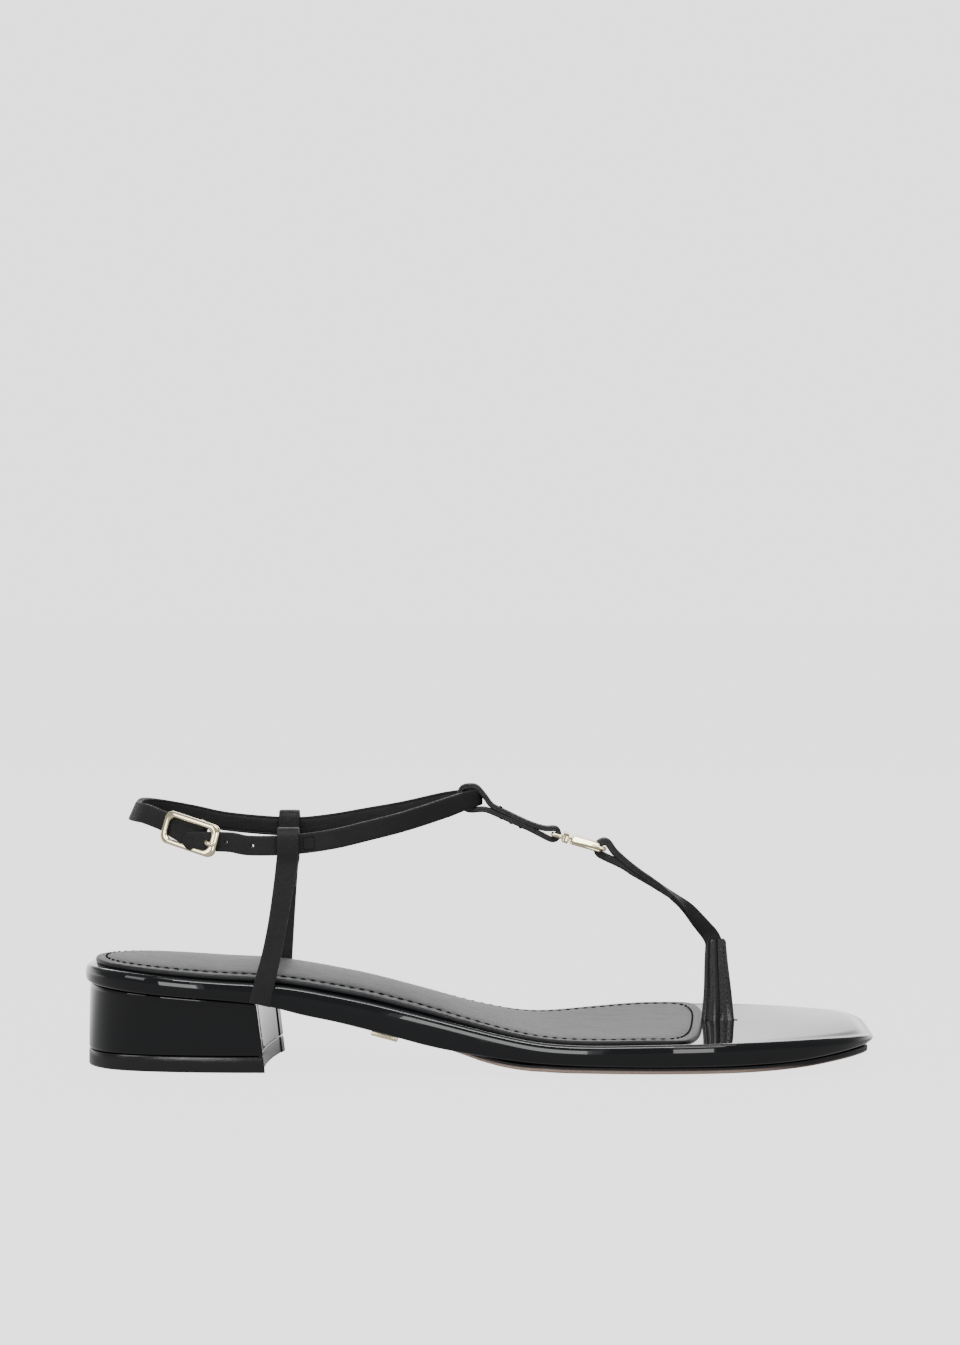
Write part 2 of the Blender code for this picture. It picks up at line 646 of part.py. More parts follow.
def build_ankle_strap():
    centre, along, out, up = buckle_axes()

    def local(u, n):
        return centre + along * u + out * n

    half = BUCKLE_WIRE / 2
    wrap = 1.25 * half + GAP + ANKLE_THICKNESS / 2
    layer = (ANKLE_THICKNESS + GAP) / 2 + 0.0001
    pivot = -BUCKLE_LENGTH / 2 + half
    fold = [
        local(pivot - 0.0048, -layer * 1.60),
        local(pivot - 0.0036, -layer * 1.40),
        local(pivot - 0.0024, -layer * 1.22),
        local(pivot - 0.0008, -wrap),
    ]
    for turn in (-60, -25, 10, 45, 80):
        angle = math.radians(turn)
        fold.append(local(pivot + wrap * math.cos(angle), wrap * math.sin(angle)))
    fold += [local(pivot - 0.0020, layer * 1.5), local(pivot - 0.0045, layer * 1.05)]
    line = [place(row) for row in ANKLE_LINE]
    run_in = BUCKLE_LENGTH / 2
    under_frame = -(half + GAP + ANKLE_THICKNESS / 2)
    billet = [
        local(run_in + 0.0045, under_frame * 0.9),
        local(run_in, under_frame),
        local(run_in - BUCKLE_FACE - 0.002, under_frame),
        local(0.0015, under_frame * 0.85),
        local(-0.0018, under_frame * 0.7),
    ]
    path = smooth(fold + line + billet, 4)
    from_bar = np.linalg.norm(path - place(ANKLE_LINE[0]), axis=1)
    lean = np.clip(1 - from_bar / 0.012, 0, 1)[:, None]
    to_billet = np.clip(1 - np.linalg.norm(path - local(0.004, 0), axis=1) / 0.024, 0, 1)[:, None]
    mix = np.clip(lean + 1.6 * to_billet, 0, 1)
    widths = (1 - mix) * np.array([0.0, 0.0, 1.0]) + mix * up
    from_loop = np.linalg.norm(path - place(ANKLE_LINE[13]), axis=1)
    width = ANKLE_WIDTH * (0.90 + 0.10 * np.clip((from_loop - 0.004) / 0.008, 0, 1))
    width[-1] = 0.35 * ANKLE_WIDTH
    width[-2] = 0.72 * ANKLE_WIDTH
    width[-3] = 0.92 * ANKLE_WIDTH
    strap = ribbon("ankle_strap", path, widths, width, ANKLE_THICKNESS, LEATHER)
    axes = (along, up, out)
    slot = box("cut_prong_slot", local(pivot + 0.0004, 0), axes, (0.0062, 0.0024, 0.0090), LEATHER)
    combine(strap, slot, "DIFFERENCE")
    prong_hole = box("cut_prong_hole", local(0.0052, under_frame), axes, (0.0036, 0.0020, 0.0040), LEATHER)
    combine(strap, prong_hole, "DIFFERENCE")
    spots = [run_in + 0.0025, run_in + 0.0025 + HOLE_PITCH]
    for index, spot in enumerate(spots):
        guess = local(spot, under_frame)
        nearest = path[len(path) // 2 :][np.linalg.norm(path[len(path) // 2 :] - guess, axis=1).argmin()]
        ends = (nearest - out * 0.003, nearest + out * 0.003)
        hole = bar(f"cut_hole_{index}", *ends, HOLE_DIAMETER / 2, LEATHER, 10)
        combine(strap, hole, "DIFFERENCE")
    return strap


def build_buckle():
    centre, along, out, up = buckle_axes()
    frame = box("buckle_frame", centre, (along, up, out), (BUCKLE_LENGTH, BUCKLE_HEIGHT, BUCKLE_WIRE), GOLD)
    window_length = BUCKLE_LENGTH - BUCKLE_WIRE - BUCKLE_FACE
    window_centre = centre + along * (BUCKLE_WIRE - BUCKLE_FACE) / 2
    window = box(
        "cut_buckle_window",
        window_centre,
        (along, up, out),
        (window_length, BUCKLE_HEIGHT - 2 * BUCKLE_WIRE, 0.006),
        GOLD,
    )
    combine(frame, window, "DIFFERENCE")
    bevel(frame, 0.0004)
    half = BUCKLE_WIRE / 2
    pivot = -BUCKLE_LENGTH / 2 + half
    thick = PRONG_THICKNESS
    ring = half * 1.42 + 0.00025 + thick / 2
    under = -(half + 2 * GAP + ANKLE_THICKNESS + thick / 2 + 0.0002)
    tail = [
        (pivot + 0.0032, under * 0.62),
        (-0.0030, under),
        (0.0025, under * 1.02),
        (0.0046, under * 0.72),
        (0.0056, -0.0004),
        (BUCKLE_LENGTH / 2 - BUCKLE_FACE - 0.0003, half + GAP * 0.7 + thick / 2),
        (BUCKLE_LENGTH / 2 - 0.0008, half + GAP + thick / 2),
    ]
    turns = [math.radians(turn) for turn in (60, 105, 150, 195, 240, 285)]
    start = [(pivot + ring * math.cos(turn), ring * math.sin(turn)) for turn in turns]
    points = smooth([centre + along * u + out * n for u, n in start + tail], 3)
    prong = ribbon("buckle_prong", points, up, 0.0012, thick, GOLD)
    return frame, prong


def loop_over(line_point, side, thick):
    """Points that carry a strap from its leg up over the ankle strap and down its inner face."""
    reach = ANKLE_THICKNESS / 2 + GAP + thick / 2 + 0.12 * QUARTER_WIDTH
    rise = ANKLE_WIDTH / 2 + GAP + thick / 2 + 0.06 * QUARTER_WIDTH
    x, y, z = line_point
    return [
        np.array([x, y + side * reach, z - 0.4 * rise]),
        np.array([x, y + side * reach, z + 0.55 * rise]),
        np.array([x, y + side * 0.62 * reach, z + 0.95 * rise]),
        np.array([x, y - side * 0.62 * reach, z + 0.95 * rise]),
        np.array([x, y - side * reach, z + 0.55 * rise]),
        np.array([x, y - side * reach, z - 0.85 * rise]),
    ]


def build_quarter(name, leg, side):
    """side: -1 for the outer strap, 1 for the inner one."""
    ankle = smooth([place(row) for row in ANKLE_LINE], 8)
    leg = [place(row) for row in leg]
    top_x = leg[-1][0]
    same_side = ankle[np.sign(ankle[:, 1]) == side]
    crossing = same_side[np.abs(same_side[:, 0] - top_x).argmin()]
    over = loop_over(crossing, side, QUARTER_THICKNESS)
    beside = side * (QUARTER_THICKNESS + GAP)
    outer_foot = leg[-1]
    inner = [
        np.array([top_x, outer_foot[1] - beside * 1.02, outer_foot[2] - 0.0004]),
        np.array([top_x - 0.0002, outer_foot[1] - beside, outer_foot[2] - 0.0030]),
        np.array([top_x - 0.0006, outer_foot[1] - beside, outer_foot[2] - 0.0070]),
    ]
    path = smooth(leg + over + inner, 3)
    rise = np.clip((path[:, 2] - path[0, 2]) / (outer_foot[2] - path[0, 2]), 0, 1)
    width = QUARTER_WIDTH * (1 - QUARTER_NARROWING * np.sin(math.pi * rise))
    return ribbon(name, path, (1.0, 0.0, 0.0), width, QUARTER_THICKNESS, LEATHER)


def fold_round(centre, along, radius, turns):
    """Points of a fold round a cross bar. along: the strap's direction, which stands for 0 degrees."""
    along = unit(along)
    upward = unit(np.array([0.0, 0.0, 1.0]) - along * along[2])
    points = []
    for turn in turns:
        angle = math.radians(turn)
        points.append(centre + radius * (math.cos(angle) * along + math.sin(angle) * upward))
    return points


def build_t_strap():
    link_rear = place(LINK_REAR)
    link_front = place(LINK_FRONT)
    fold = LINK_WIRE / 2 + 2.2 * GAP + T_LAYER / 2
    top = [place(row) for row in T_REAR_TOP]
    along = link_rear - top[2]
    round_link = fold_round(link_rear, along, fold, (90, 50, 0, -50, -90))
    apex = place((ANKLE_LINE[13][0], ANKLE_LINE[13][1], ANKLE_LINE[13][2]))
    rise = 0.90 * ANKLE_WIDTH / 2 + GAP + T_LAYER / 2
    reach = ANKLE_THICKNESS / 2 + 1.5 * GAP + T_LAYER / 2
    bow = 0.58 * T_WIDTH
    lower = []
    for point, ahead in ((top[3], top[4]), (top[2], top[3]), (top[1], top[2])):
        direction = unit(ahead - point)
        normal = unit(np.array([-direction[2], 0.0, direction[0]]))
        lower.append(point - normal * (T_LAYER + GAP * 1.2))
    lower.insert(0, (round_link[-1] + lower[0]) / 2)
    behind = [
        apex + (reach * 0.3, 0, -rise * 1.10),
        apex + (-bow * 0.5, 0, -rise * 1.10),
        apex + (-bow, 0, -rise * 0.98),
        apex + (-bow - reach * 0.9, 0, -rise * 0.50),
        apex + (-bow - reach * 1.0, 0, rise * 0.30),
        apex + (-bow - reach * 0.5, 0, rise * 0.95),
        apex + (-bow * 0.5, 0, rise * 1.06),
        apex + (reach * 0.55, 0, rise * 1.06),
    ]
    path = smooth(behind + top + round_link + lower, 3, closed=True)
    rear = ribbon("t_strap_rear", path, (0.0, 1.0, 0.0), T_WIDTH, T_LAYER, LEATHER, closed=True)

    line = [place(row) for row in T_FRONT_LINE]
    fold = LINK_WIRE / 2 + 2.6 * GAP + T_FRONT_THICKNESS / 2
    back = link_front - line[1]
    round_link = fold_round(link_front, back, fold, (-90, -50, 0, 50, 90))
    under = []
    for point, ahead in ((line[1], line[2]), (line[0], line[1])):
        direction = unit(ahead - point)
        normal = unit(np.array([-direction[2], 0.0, direction[0]]))
        under.append(point - normal * (T_FRONT_THICKNESS + GAP))
    under.append((round_link[0] + under[-1]) / 2)
    path = smooth(under + round_link + line, 3)
    turn = np.clip((path[:, 0] - 0.266 * SOLE_LENGTH) / (0.026 * SOLE_LENGTH), 0, 1)[:, None]
    widths = (1 - turn) * np.array([0.0, 1.0, 0.0]) + turn * np.array([1.0, 0.10, 0.10])
    wide = T_WIDTH * (0.94 - 0.12 * turn[:, 0])
    front = ribbon("t_strap_front", path, widths, wide, T_FRONT_THICKNESS, LEATHER)
    return rear, front


def build_link():
    rear = place(LINK_REAR)
    front = place(LINK_FRONT)
    along = unit(front - rear)
    out = np.array([0.0, 1.0, 0.0])
    up = unit(np.cross(along, out))
    up = up if up[2] > 0 else -up
    out = np.cross(up, along)
    axes = (along, out, up)
    span = np.linalg.norm(front - rear)
    middle = (rear + front) / 2
    wide = T_WIDTH + 0.0034
    body = box("link", middle, axes, (span + LINK_WIRE, wide, LINK_WIRE), GOLD)

    def piece(name, start, end, across_share, thick):
        centre = rear + along * (start + end) / 2
        return box(name, centre, axes, (end - start, wide * across_share, thick), GOLD)

    collar = piece("cut_link_collar", 0.22 * span, 0.33 * span, 0.90, 1.1 * LINK_PLATE_THICKNESS)
    frame = piece("cut_link_frame", 0.39 * span, span - 0.7 * LINK_WIRE, 0.98, LINK_PLATE_THICKNESS)
    eye = LINK_WIRE / 2 + 0.185 * span
    window = 1 - 2 * LINK_WIRE / wide
    rear_window = piece("cut_link_rear", LINK_WIRE / 2, eye, window, 0.006)
    front_window = piece("cut_link_front", span - eye - 0.0004, span - LINK_WIRE / 2, window, 0.006)
    combine(body, collar, "UNION")
    combine(body, frame, "UNION")
    combine(body, rear_window, "DIFFERENCE")
    combine(body, front_window, "DIFFERENCE")
    bevel(body, 0.0003)
    return body


def build_thong():
    top = place(THONG_TOP)
    foot = place(THONG_FOOT)
    points = smooth([foot, foot + (top - foot) * 0.35 + (0.0002, 0, 0), foot + (top - foot) * 0.7, top], 3)
    share = np.linspace(0, 1, len(points))
    width = THONG_BASE_WIDTH + (THONG_TOP_WIDTH - THONG_BASE_WIDTH) * share**0.8
    return ribbon("thong_post", points, (1.0, 0.0, 0.0), width, THONG_THICKNESS, LEATHER)


def cut_thong_slot(platform):
    foot = place(THONG_FOOT)
    sides = (THONG_BASE_WIDTH + 3 * GAP, THONG_THICKNESS + 3 * GAP, 0.020)
    centre = foot + (0, 0, sides[2] / 2 - GAP)
    slot = box("cut_thong_slot", centre, np.eye(3), sides, PATENT)
    combine(platform, slot, "DIFFERENCE")


def build_arch_plate():
    x = -0.119 * SOLE_LENGTH
    y = 0.62 * at("lateral", x)
    slope = (at("floor", x + 0.004) - at("floor", x - 0.004)) / 0.008
    along = unit((1.0, 0.0, slope))
    out = np.array([0.0, 1.0, 0.0])
    up = np.cross(along, out)
    base = at("floor", x) - GAP - OUTSOLE_THICKNESS
    centre = np.array([x, y, base - GAP - PLATE_THICKNESS / 2])
    sides = (PLATE_LENGTH, 0.42 * PLATE_LENGTH, PLATE_THICKNESS)
    plate = box("arch_plate", centre, (along, out, up), sides, GOLD)
    return bevel(plate, 0.0002)


clear_scene()
wrapped = build_platform()
cut_thong_slot(wrapped)
build_sock()
build_outsole()
build_heel()
build_ankle_strap()
build_buckle()
build_quarter("quarter_strap_lateral", LATERAL_LEG, -1)
build_quarter("quarter_strap_medial", MEDIAL_LEG, 1)
build_t_strap()
build_link()
build_thong()
build_arch_plate()
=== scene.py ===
"""Right flat sandal in black patent: block heel, T-strap with a gold link, buckled ankle strap."""

import math

import bpy
import numpy as np
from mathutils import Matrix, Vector


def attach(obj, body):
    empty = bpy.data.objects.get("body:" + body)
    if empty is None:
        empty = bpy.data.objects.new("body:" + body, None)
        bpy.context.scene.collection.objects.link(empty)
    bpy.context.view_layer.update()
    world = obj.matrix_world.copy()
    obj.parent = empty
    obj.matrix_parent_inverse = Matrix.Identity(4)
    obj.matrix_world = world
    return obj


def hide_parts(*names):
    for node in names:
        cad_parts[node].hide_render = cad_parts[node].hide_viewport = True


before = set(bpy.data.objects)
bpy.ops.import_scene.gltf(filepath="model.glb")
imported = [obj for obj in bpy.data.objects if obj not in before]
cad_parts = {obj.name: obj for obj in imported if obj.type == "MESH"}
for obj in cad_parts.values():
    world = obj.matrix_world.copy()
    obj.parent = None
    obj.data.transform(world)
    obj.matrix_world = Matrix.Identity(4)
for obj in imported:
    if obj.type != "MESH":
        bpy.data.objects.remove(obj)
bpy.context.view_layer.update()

# Sizes of the part's source, in metres, and a few shares.
SOLE_LENGTH = 0.248
BALL_WIDTH = 0.0855
HEEL_RIM_HEIGHT = 0.0315
INSTEP_HEIGHT = 0.0835
GAP = 0.0003
OUTSOLE_THICKNESS = 0.0016
OUTSOLE_INSET = 0.0016
OUTSOLE_WAIST_INSET = 0.0065
OUTSOLE_EDGE_RISE = 0.0023
OUTSOLE_FLAT_SHARE = 0.35
SOCK_THICKNESS = 0.0012
SOCK_INSET = 0.0030
LIFT_HEIGHT = 0.0050
HEEL_TOP_INSET = 0.0014
BREAST_LATERAL = -0.2655
BREAST_MEDIAL = -0.2525
BREAST_HOLLOW = 0.0018
BREAST_LEAN = 0.0034
ANKLE_WIDTH = 0.0061
ANKLE_THICKNESS = 0.0018
QUARTER_WIDTH = 0.0066
QUARTER_THICKNESS = 0.0017
T_WIDTH = 0.0060
T_LAYER = 0.00125
T_FRONT_THICKNESS = 0.0017
THONG_THICKNESS = 0.0022
THONG_TOP_WIDTH = 0.0066
THONG_BASE_WIDTH = 0.0110
BUCKLE_LENGTH = 0.0182
BUCKLE_HEIGHT = 0.0102
BUCKLE_WIRE = 0.0014
BUCKLE_FACE = 0.0023
PRONG_THICKNESS = 0.0010
HOLE_DIAMETER = 0.0013
HOLE_PITCH = 0.0090
LINK_WIRE = 0.0013
LINK_PLATE_THICKNESS = 0.0023

# Sizes of the finished look alone, in metres. The sock's ends are shares of the sole's length,
# the leans are slopes, and HIDDEN_BAR lies so far along and out from the buckle's middle.
SOCK_FRONT_LATERAL = 0.2692
SOCK_FRONT_MEDIAL = 0.2962
SOCK_NOSE = 0.0090
STITCH_PITCH = 0.0030
HEEL_SEAT = 0.0235
HEEL_COVER_TOP = 0.0225
STRAP_STEP = 0.0005
EDGE_ROUND = 0.00042
FOLD_RADIUS = 0.00115
FOLD_THICKNESS = 0.0011
T_LOOK = 0.0016
FINE_STEP = 0.0004
THONG_EDGE = 0.0004
THONG_ROLL = 0.00055
HIDDEN_BAR = (0.0018, -0.00255)
BAR_WIRE = 0.0010
BACK_LEAN = 0.45
BUCKLE_LEAN = 0.10
BUCKLE_EXTRA = 0.0020
BOX_STITCH = -0.0528
BOX_STITCH_HALF = (0.0017, 0.0019)
PLATE_DROP = 0.0010
PLATE_THICKNESS = 0.0014
PLATE_BEVEL = 0.0002
PIN_RADIUS = 0.0008

# Brightness of the air and the floor: as the camera sees them, and in reflections.
PALE_AIR = 2.27
FRONT_AIR = 0.38
BACK_AIR = 1.9
FLOOR_PALE = PALE_AIR - 0.06
FLOOR_BACK = 1.6
FLOOR_LEVEL = -0.0002
FLOOR_SIZE = 60
WHITE = (1.0, 1.0, 1.0, 1.0)

# The camera, 1 m away. Its lens is given in pixels of the photograph.
CAMERA_PLACE = (0.0, -1.0, 0.143)
CAMERA_DIP = 1.16
FOCAL_PIXELS = 3180.0
PICTURE_PIXELS = 1345.0
SENSOR = 36.0

AHEAD = np.array([1.0, 0.0, 0.0])
ACROSS = np.array([0.0, 1.0, 0.0])
UPWARD = np.array([0.0, 0.0, 1.0])

# Tables of the part's source, in shares of the sole's length, the ball's width and a height.
# The height is the heel's rim in SOLE and the instep in the lines. BUCKLE_ALONG is a direction.
SOLE = (
    # x, lateral, medial, rim_lateral, rim_medial, crown, wall, floor
    (-0.5000, -0.035, 0.035, 1.000, 1.000, 0.020, 0.840, 0.850),
    (-0.4945, -0.105, 0.105, 1.003, 1.003, 0.022, 0.835, 0.845),
    (-0.4840, -0.175, 0.175, 1.003, 1.003, 0.032, 0.828, 0.835),
    (-0.4640, -0.245, 0.240, 0.998, 0.998, 0.044, 0.812, 0.818),
    (-0.4300, -0.307, 0.298, 0.980, 0.980, 0.062, 0.790, 0.794),
    (-0.3830, -0.340, 0.328, 0.947, 0.950, 0.080, 0.762, 0.766),
    (-0.3230, -0.349, 0.333, 0.909, 0.914, 0.088, 0.728, 0.734),
    (-0.2660, -0.346, 0.312, 0.885, 0.900, 0.088, 0.682, 0.700),
    (-0.2220, -0.340, 0.280, 0.841, 0.865, 0.086, 0.582, 0.650),
    (-0.1850, -0.336, 0.252, 0.784, 0.812, 0.098, 0.527, 0.605),
    (-0.1410, -0.340, 0.225, 0.717, 0.748, 0.101, 0.441, 0.508),
    (-0.1000, -0.350, 0.214, 0.639, 0.670, 0.100, 0.360, 0.420),
    (-0.0580, -0.368, 0.220, 0.562, 0.590, 0.085, 0.276, 0.326),
    (-0.0070, -0.397, 0.250, 0.467, 0.490, 0.052, 0.214, 0.220),
    (0.0430, -0.427, 0.306, 0.384, 0.405, 0.024, 0.162, 0.108),
    (0.0850, -0.455, 0.362, 0.340, 0.375, 0.004, 0.142, 0.064),
    (0.1370, -0.483, 0.422, 0.332, 0.393, -0.014, 0.133, 0.0605),
    (0.1940, -0.502, 0.474, 0.346, 0.416, -0.024, 0.132, 0.0605),
    (0.2500, -0.500, 0.500, 0.352, 0.426, -0.022, 0.133, 0.0605),
    (0.3060, -0.478, 0.506, 0.356, 0.424, -0.012, 0.135, 0.0605),
    (0.3550, -0.438, 0.500, 0.358, 0.416, 0.000, 0.144, 0.068),
    (0.4000, -0.378, 0.480, 0.356, 0.406, 0.012, 0.152, 0.085),
    (0.4360, -0.308, 0.448, 0.350, 0.394, 0.020, 0.164, 0.112),
    (0.4640, -0.236, 0.412, 0.336, 0.388, 0.024, 0.178, 0.138),
    (0.4830, -0.162, 0.365, 0.320, 0.372, 0.022, 0.192, 0.158),
    (0.4945, -0.088, 0.308, 0.304, 0.352, 0.018, 0.202, 0.172),
    (0.5000, 0.000, 0.228, 0.294, 0.332, 0.012, 0.208, 0.182),
)
HEEL_FOOT = (
    # x, lateral, medial
    (-0.4960, -0.035, 0.035),
    (-0.4915, -0.085, 0.085),
    (-0.4830, -0.135, 0.135),
    (-0.4650, -0.193, 0.190),
    (-0.4350, -0.238, 0.235),
    (-0.3950, -0.266, 0.264),
    (-0.3450, -0.284, 0.283),
    (-0.3000, -0.291, 0.291),
)
ANKLE_LINE = (
    (-0.4165, -0.145, 0.930),
    (-0.4330, -0.075, 0.940),
    (-0.4380, 0.000, 0.948),
    (-0.4330, 0.085, 0.957),
    (-0.4090, 0.165, 0.945),
    (-0.3720, 0.232, 0.920),
    (-0.3250, 0.280, 0.888),
    (-0.2480, 0.310, 0.868),
    (-0.1980, 0.292, 0.880),
    (-0.1470, 0.247, 0.908),
    (-0.0970, 0.184, 0.938),
    (-0.0480, 0.106, 0.975),
    (-0.0160, 0.047, 0.996),
    (-0.0040, 0.000, 1.000),
    (-0.0160, -0.047, 0.994),
    (-0.0480, -0.112, 0.962),
    (-0.0950, -0.198, 0.922),
    (-0.1410, -0.254, 0.890),
    (-0.1860, -0.289, 0.861),
    (-0.2370, -0.304, 0.843),
    (-0.2850, -0.308, 0.841),
)
LATERAL_LEG = (
    (-0.2715, -0.3615, 0.262),
    (-0.2655, -0.3615, 0.340),
    (-0.2580, -0.3560, 0.430),
    (-0.2500, -0.3475, 0.550),
    (-0.2425, -0.3380, 0.690),
    (-0.2385, -0.3320, 0.775),
)
MEDIAL_LEG = (
    (-0.2600, 0.3290, 0.262),
    (-0.2580, 0.3300, 0.340),
    (-0.2555, 0.3340, 0.440),
    (-0.2525, 0.3380, 0.580),
    (-0.2500, 0.3420, 0.720),
    (-0.2485, 0.3440, 0.800),
)
T_REAR_TOP = (
    (0.0084, 0.000, 1.000),
    (0.0175, 0.000, 0.967),
    (0.0330, 0.002, 0.942),
    (0.0630, 0.005, 0.900),
    (0.0830, 0.008, 0.882),
)
LINK_REAR = (0.0927, 0.010, 0.862)
LINK_FRONT = (0.1575, 0.016, 0.806)
T_FRONT_LINE = (
    (0.1730, 0.018, 0.786),
    (0.1960, 0.026, 0.728),
    (0.2190, 0.042, 0.680),
    (0.2440, 0.055, 0.625),
    (0.2640, 0.067, 0.577),
    (0.2775, 0.078, 0.531),
    (0.2872, 0.087, 0.497),
    (0.2930, 0.092, 0.477),
    (0.2962, 0.093, 0.464),
)
THONG_TOP = (0.3008, 0.093, 0.445)
THONG_FOOT = (0.3060, 0.093, 0.137)
BUCKLE_CENTRE = (-0.3573, -0.2480, 0.871)
BUCKLE_ALONG = (0.871, -0.430, -0.247)
COLUMNS = ("x", "lateral", "medial", "rim_lateral", "rim_medial", "crown", "wall", "floor")


# Lines and the sole's form

def unit(vector):
    """The vector, or each row of a table, at length 1."""
    vector = np.asarray(vector, float)
    return vector / np.linalg.norm(vector, axis=-1, keepdims=True)


def clamped(value):
    return np.clip(value, 0, 1)


def eased(value):
    """From 0 to 1 with a soft start and a soft end."""
    value = clamped(value)
    return value * value * (3 - 2 * value)


def distances(points, spot):
    return np.linalg.norm(points - spot, axis=1)


def place(share):
    return np.array(share) * (SOLE_LENGTH, BALL_WIDTH, INSTEP_HEIGHT)


def smooth(rows, steps, closed=False):
    """A smooth line through the rows."""
    rows = np.asarray(rows, float)
    if closed:
        padded = np.vstack([rows[-1:], rows, rows[:2]])
    else:
        padded = np.vstack([2 * rows[0] - rows[1], rows, 2 * rows[-1] - rows[-2]])
    line = []
    for a, b, c, d in zip(padded[:-3], padded[1:-2], padded[2:-1], padded[3:]):
        for step in range(steps):
            t = step / steps
            bend = (2 * a - 5 * b + 4 * c - d) * t**2 + (3 * b - a - 3 * c + d) * t**3
            line.append(0.5 * (2 * b + (c - a) * t + bend))
    if not closed:
        line.append(rows[-1])
    return np.array(line)


def relaxed(line, passes, closed=False):
    """The line with its small kinks evened out."""
    line = np.array(line, float)
    for _ in range(passes):
        middle = (np.roll(line, 1, axis=0) + 2 * line + np.roll(line, -1, axis=0)) / 4
        if not closed:
            middle[0] = line[0]
            middle[-1] = line[-1]
        line = middle
    return line


def run_along(line):
    """How far along the line each point lies."""
    return np.r_[0, np.cumsum(np.linalg.norm(np.diff(line[:, :3], axis=0), axis=1))]


def sampled(line, shares):
    """The line's points at these shares of its length."""
    run = run_along(line)
    return np.stack([np.interp(shares * run[-1], run, column) for column in line.T], 1)


def spaced(line, spacing, closed=False):
    """The same line with points at equal distances."""
    line = np.asarray(line, float)
    if closed:
        line = np.vstack([line, line[:1]])
    count = max(4, int(round(run_along(line)[-1] / spacing)))
    made = sampled(line, np.linspace(0, 1, count + 1))
    return made[:-1] if closed else made


def sole_tables():
    line = relaxed(smooth(SOLE, 8), 6)
    line = line * ([SOLE_LENGTH, BALL_WIDTH, BALL_WIDTH] + [HEEL_RIM_HEIGHT] * 5)
    return dict(zip(COLUMNS, line.T))


TABLES = sole_tables()


def at(name, x):
    return np.interp(x, TABLES["x"], TABLES[name])


def across(x, y):
    low = at("lateral", x)
    high = at("medial", x)
    return np.clip((2 * y - low - high) / (high - low), -1, 1)


def footbed(x, y):
    u = across(x, y)
    rim = at("rim_lateral", x) * (1 - u) / 2 + at("rim_medial", x) * (1 + u) / 2
    return rim + at("crown", x) * (1 - u**2)


def underside(x, y):
    u = np.abs(across(x, y))
    forefoot = clamped(x / (0.08 * SOLE_LENGTH))
    bend = clamped((u - OUTSOLE_FLAT_SHARE) / (1 - OUTSOLE_FLAT_SHARE))
    return at("floor", x) + OUTSOLE_EDGE_RISE * forefoot * bend**2


def edge_loop():
    """The sole's plan outline, out along the outer side and back along the inner one, with its heights."""
    sides = []
    for side in ("lateral", "medial"):
        sides.append(np.stack([TABLES[name] for name in ("x", side, "rim_" + side, "wall")], 1))
    return relaxed(np.vstack([sides[0], sides[1][::-1]]), 10, closed=True)


EDGE = edge_loop()


def two_sides(loop):
    """A plan loop's outer and inner side, each from the heel to the toe."""
    half = len(loop) // 2
    return loop[:half], loop[half:][::-1]


def point_at(side, x):
    return np.array([x, np.interp(x, side[:, 0], side[:, 1])])


def outline(distance=0.0):
    """The plan outline this far inside the sole's edge."""
    loop = EDGE[:, :2]
    along = unit(loop - np.roll(loop, 1, axis=0)) + unit(np.roll(loop, -1, axis=0) - loop)
    loop = loop + unit(np.stack([-along[:, 1], along[:, 0]], 1)) * distance
    deep = 0.002
    return relaxed(loop, 4, closed=True) if distance > deep else loop


def toward_spine(loop, share, end_reach):
    """The loop pulled towards its own middle line, which stops end_reach short of both ends."""
    middle = (loop + loop[::-1]) / 2
    low = loop[:, 0].min() + end_reach
    high = loop[:, 0].max() - end_reach
    middle[:, 0] = np.clip(middle[:, 0], low, high)
    first, last = [middle[np.abs(middle[:, 0] - limit).argmin(), 1] for limit in (low, high)]
    inside = np.where(middle[:, 0] >= high, last, middle[:, 1])
    middle[:, 1] = np.where(middle[:, 0] <= low, first, inside)
    return loop + (middle - loop) * share


def raised(loop, heights):
    return np.column_stack([loop, heights])


def laid(flat, middle, first, second, rise):
    """Flat points set in space round a middle, along two directions and off them by the rise."""
    return middle + flat[:, :1] * first + flat[:, 1:] * second + rise


# Shaping the pieces

def start_fresh():
    if bpy.context.mode != "OBJECT":
        bpy.ops.object.mode_set(mode="OBJECT")
    bpy.ops.object.select_all(action="DESELECT")


def only(thing):
    start_fresh()
    thing.select_set(True)
    bpy.context.view_layer.objects.active = thing


def settled(thing):
    """The piece's place, turn and size go into its mesh."""
    only(thing)
    bpy.ops.object.transform_apply(location=True, rotation=True, scale=True)
    return thing


def joined(thing, *others):
    only(thing)
    for other in others:
        other.select_set(True)
    bpy.ops.object.join()
    return thing


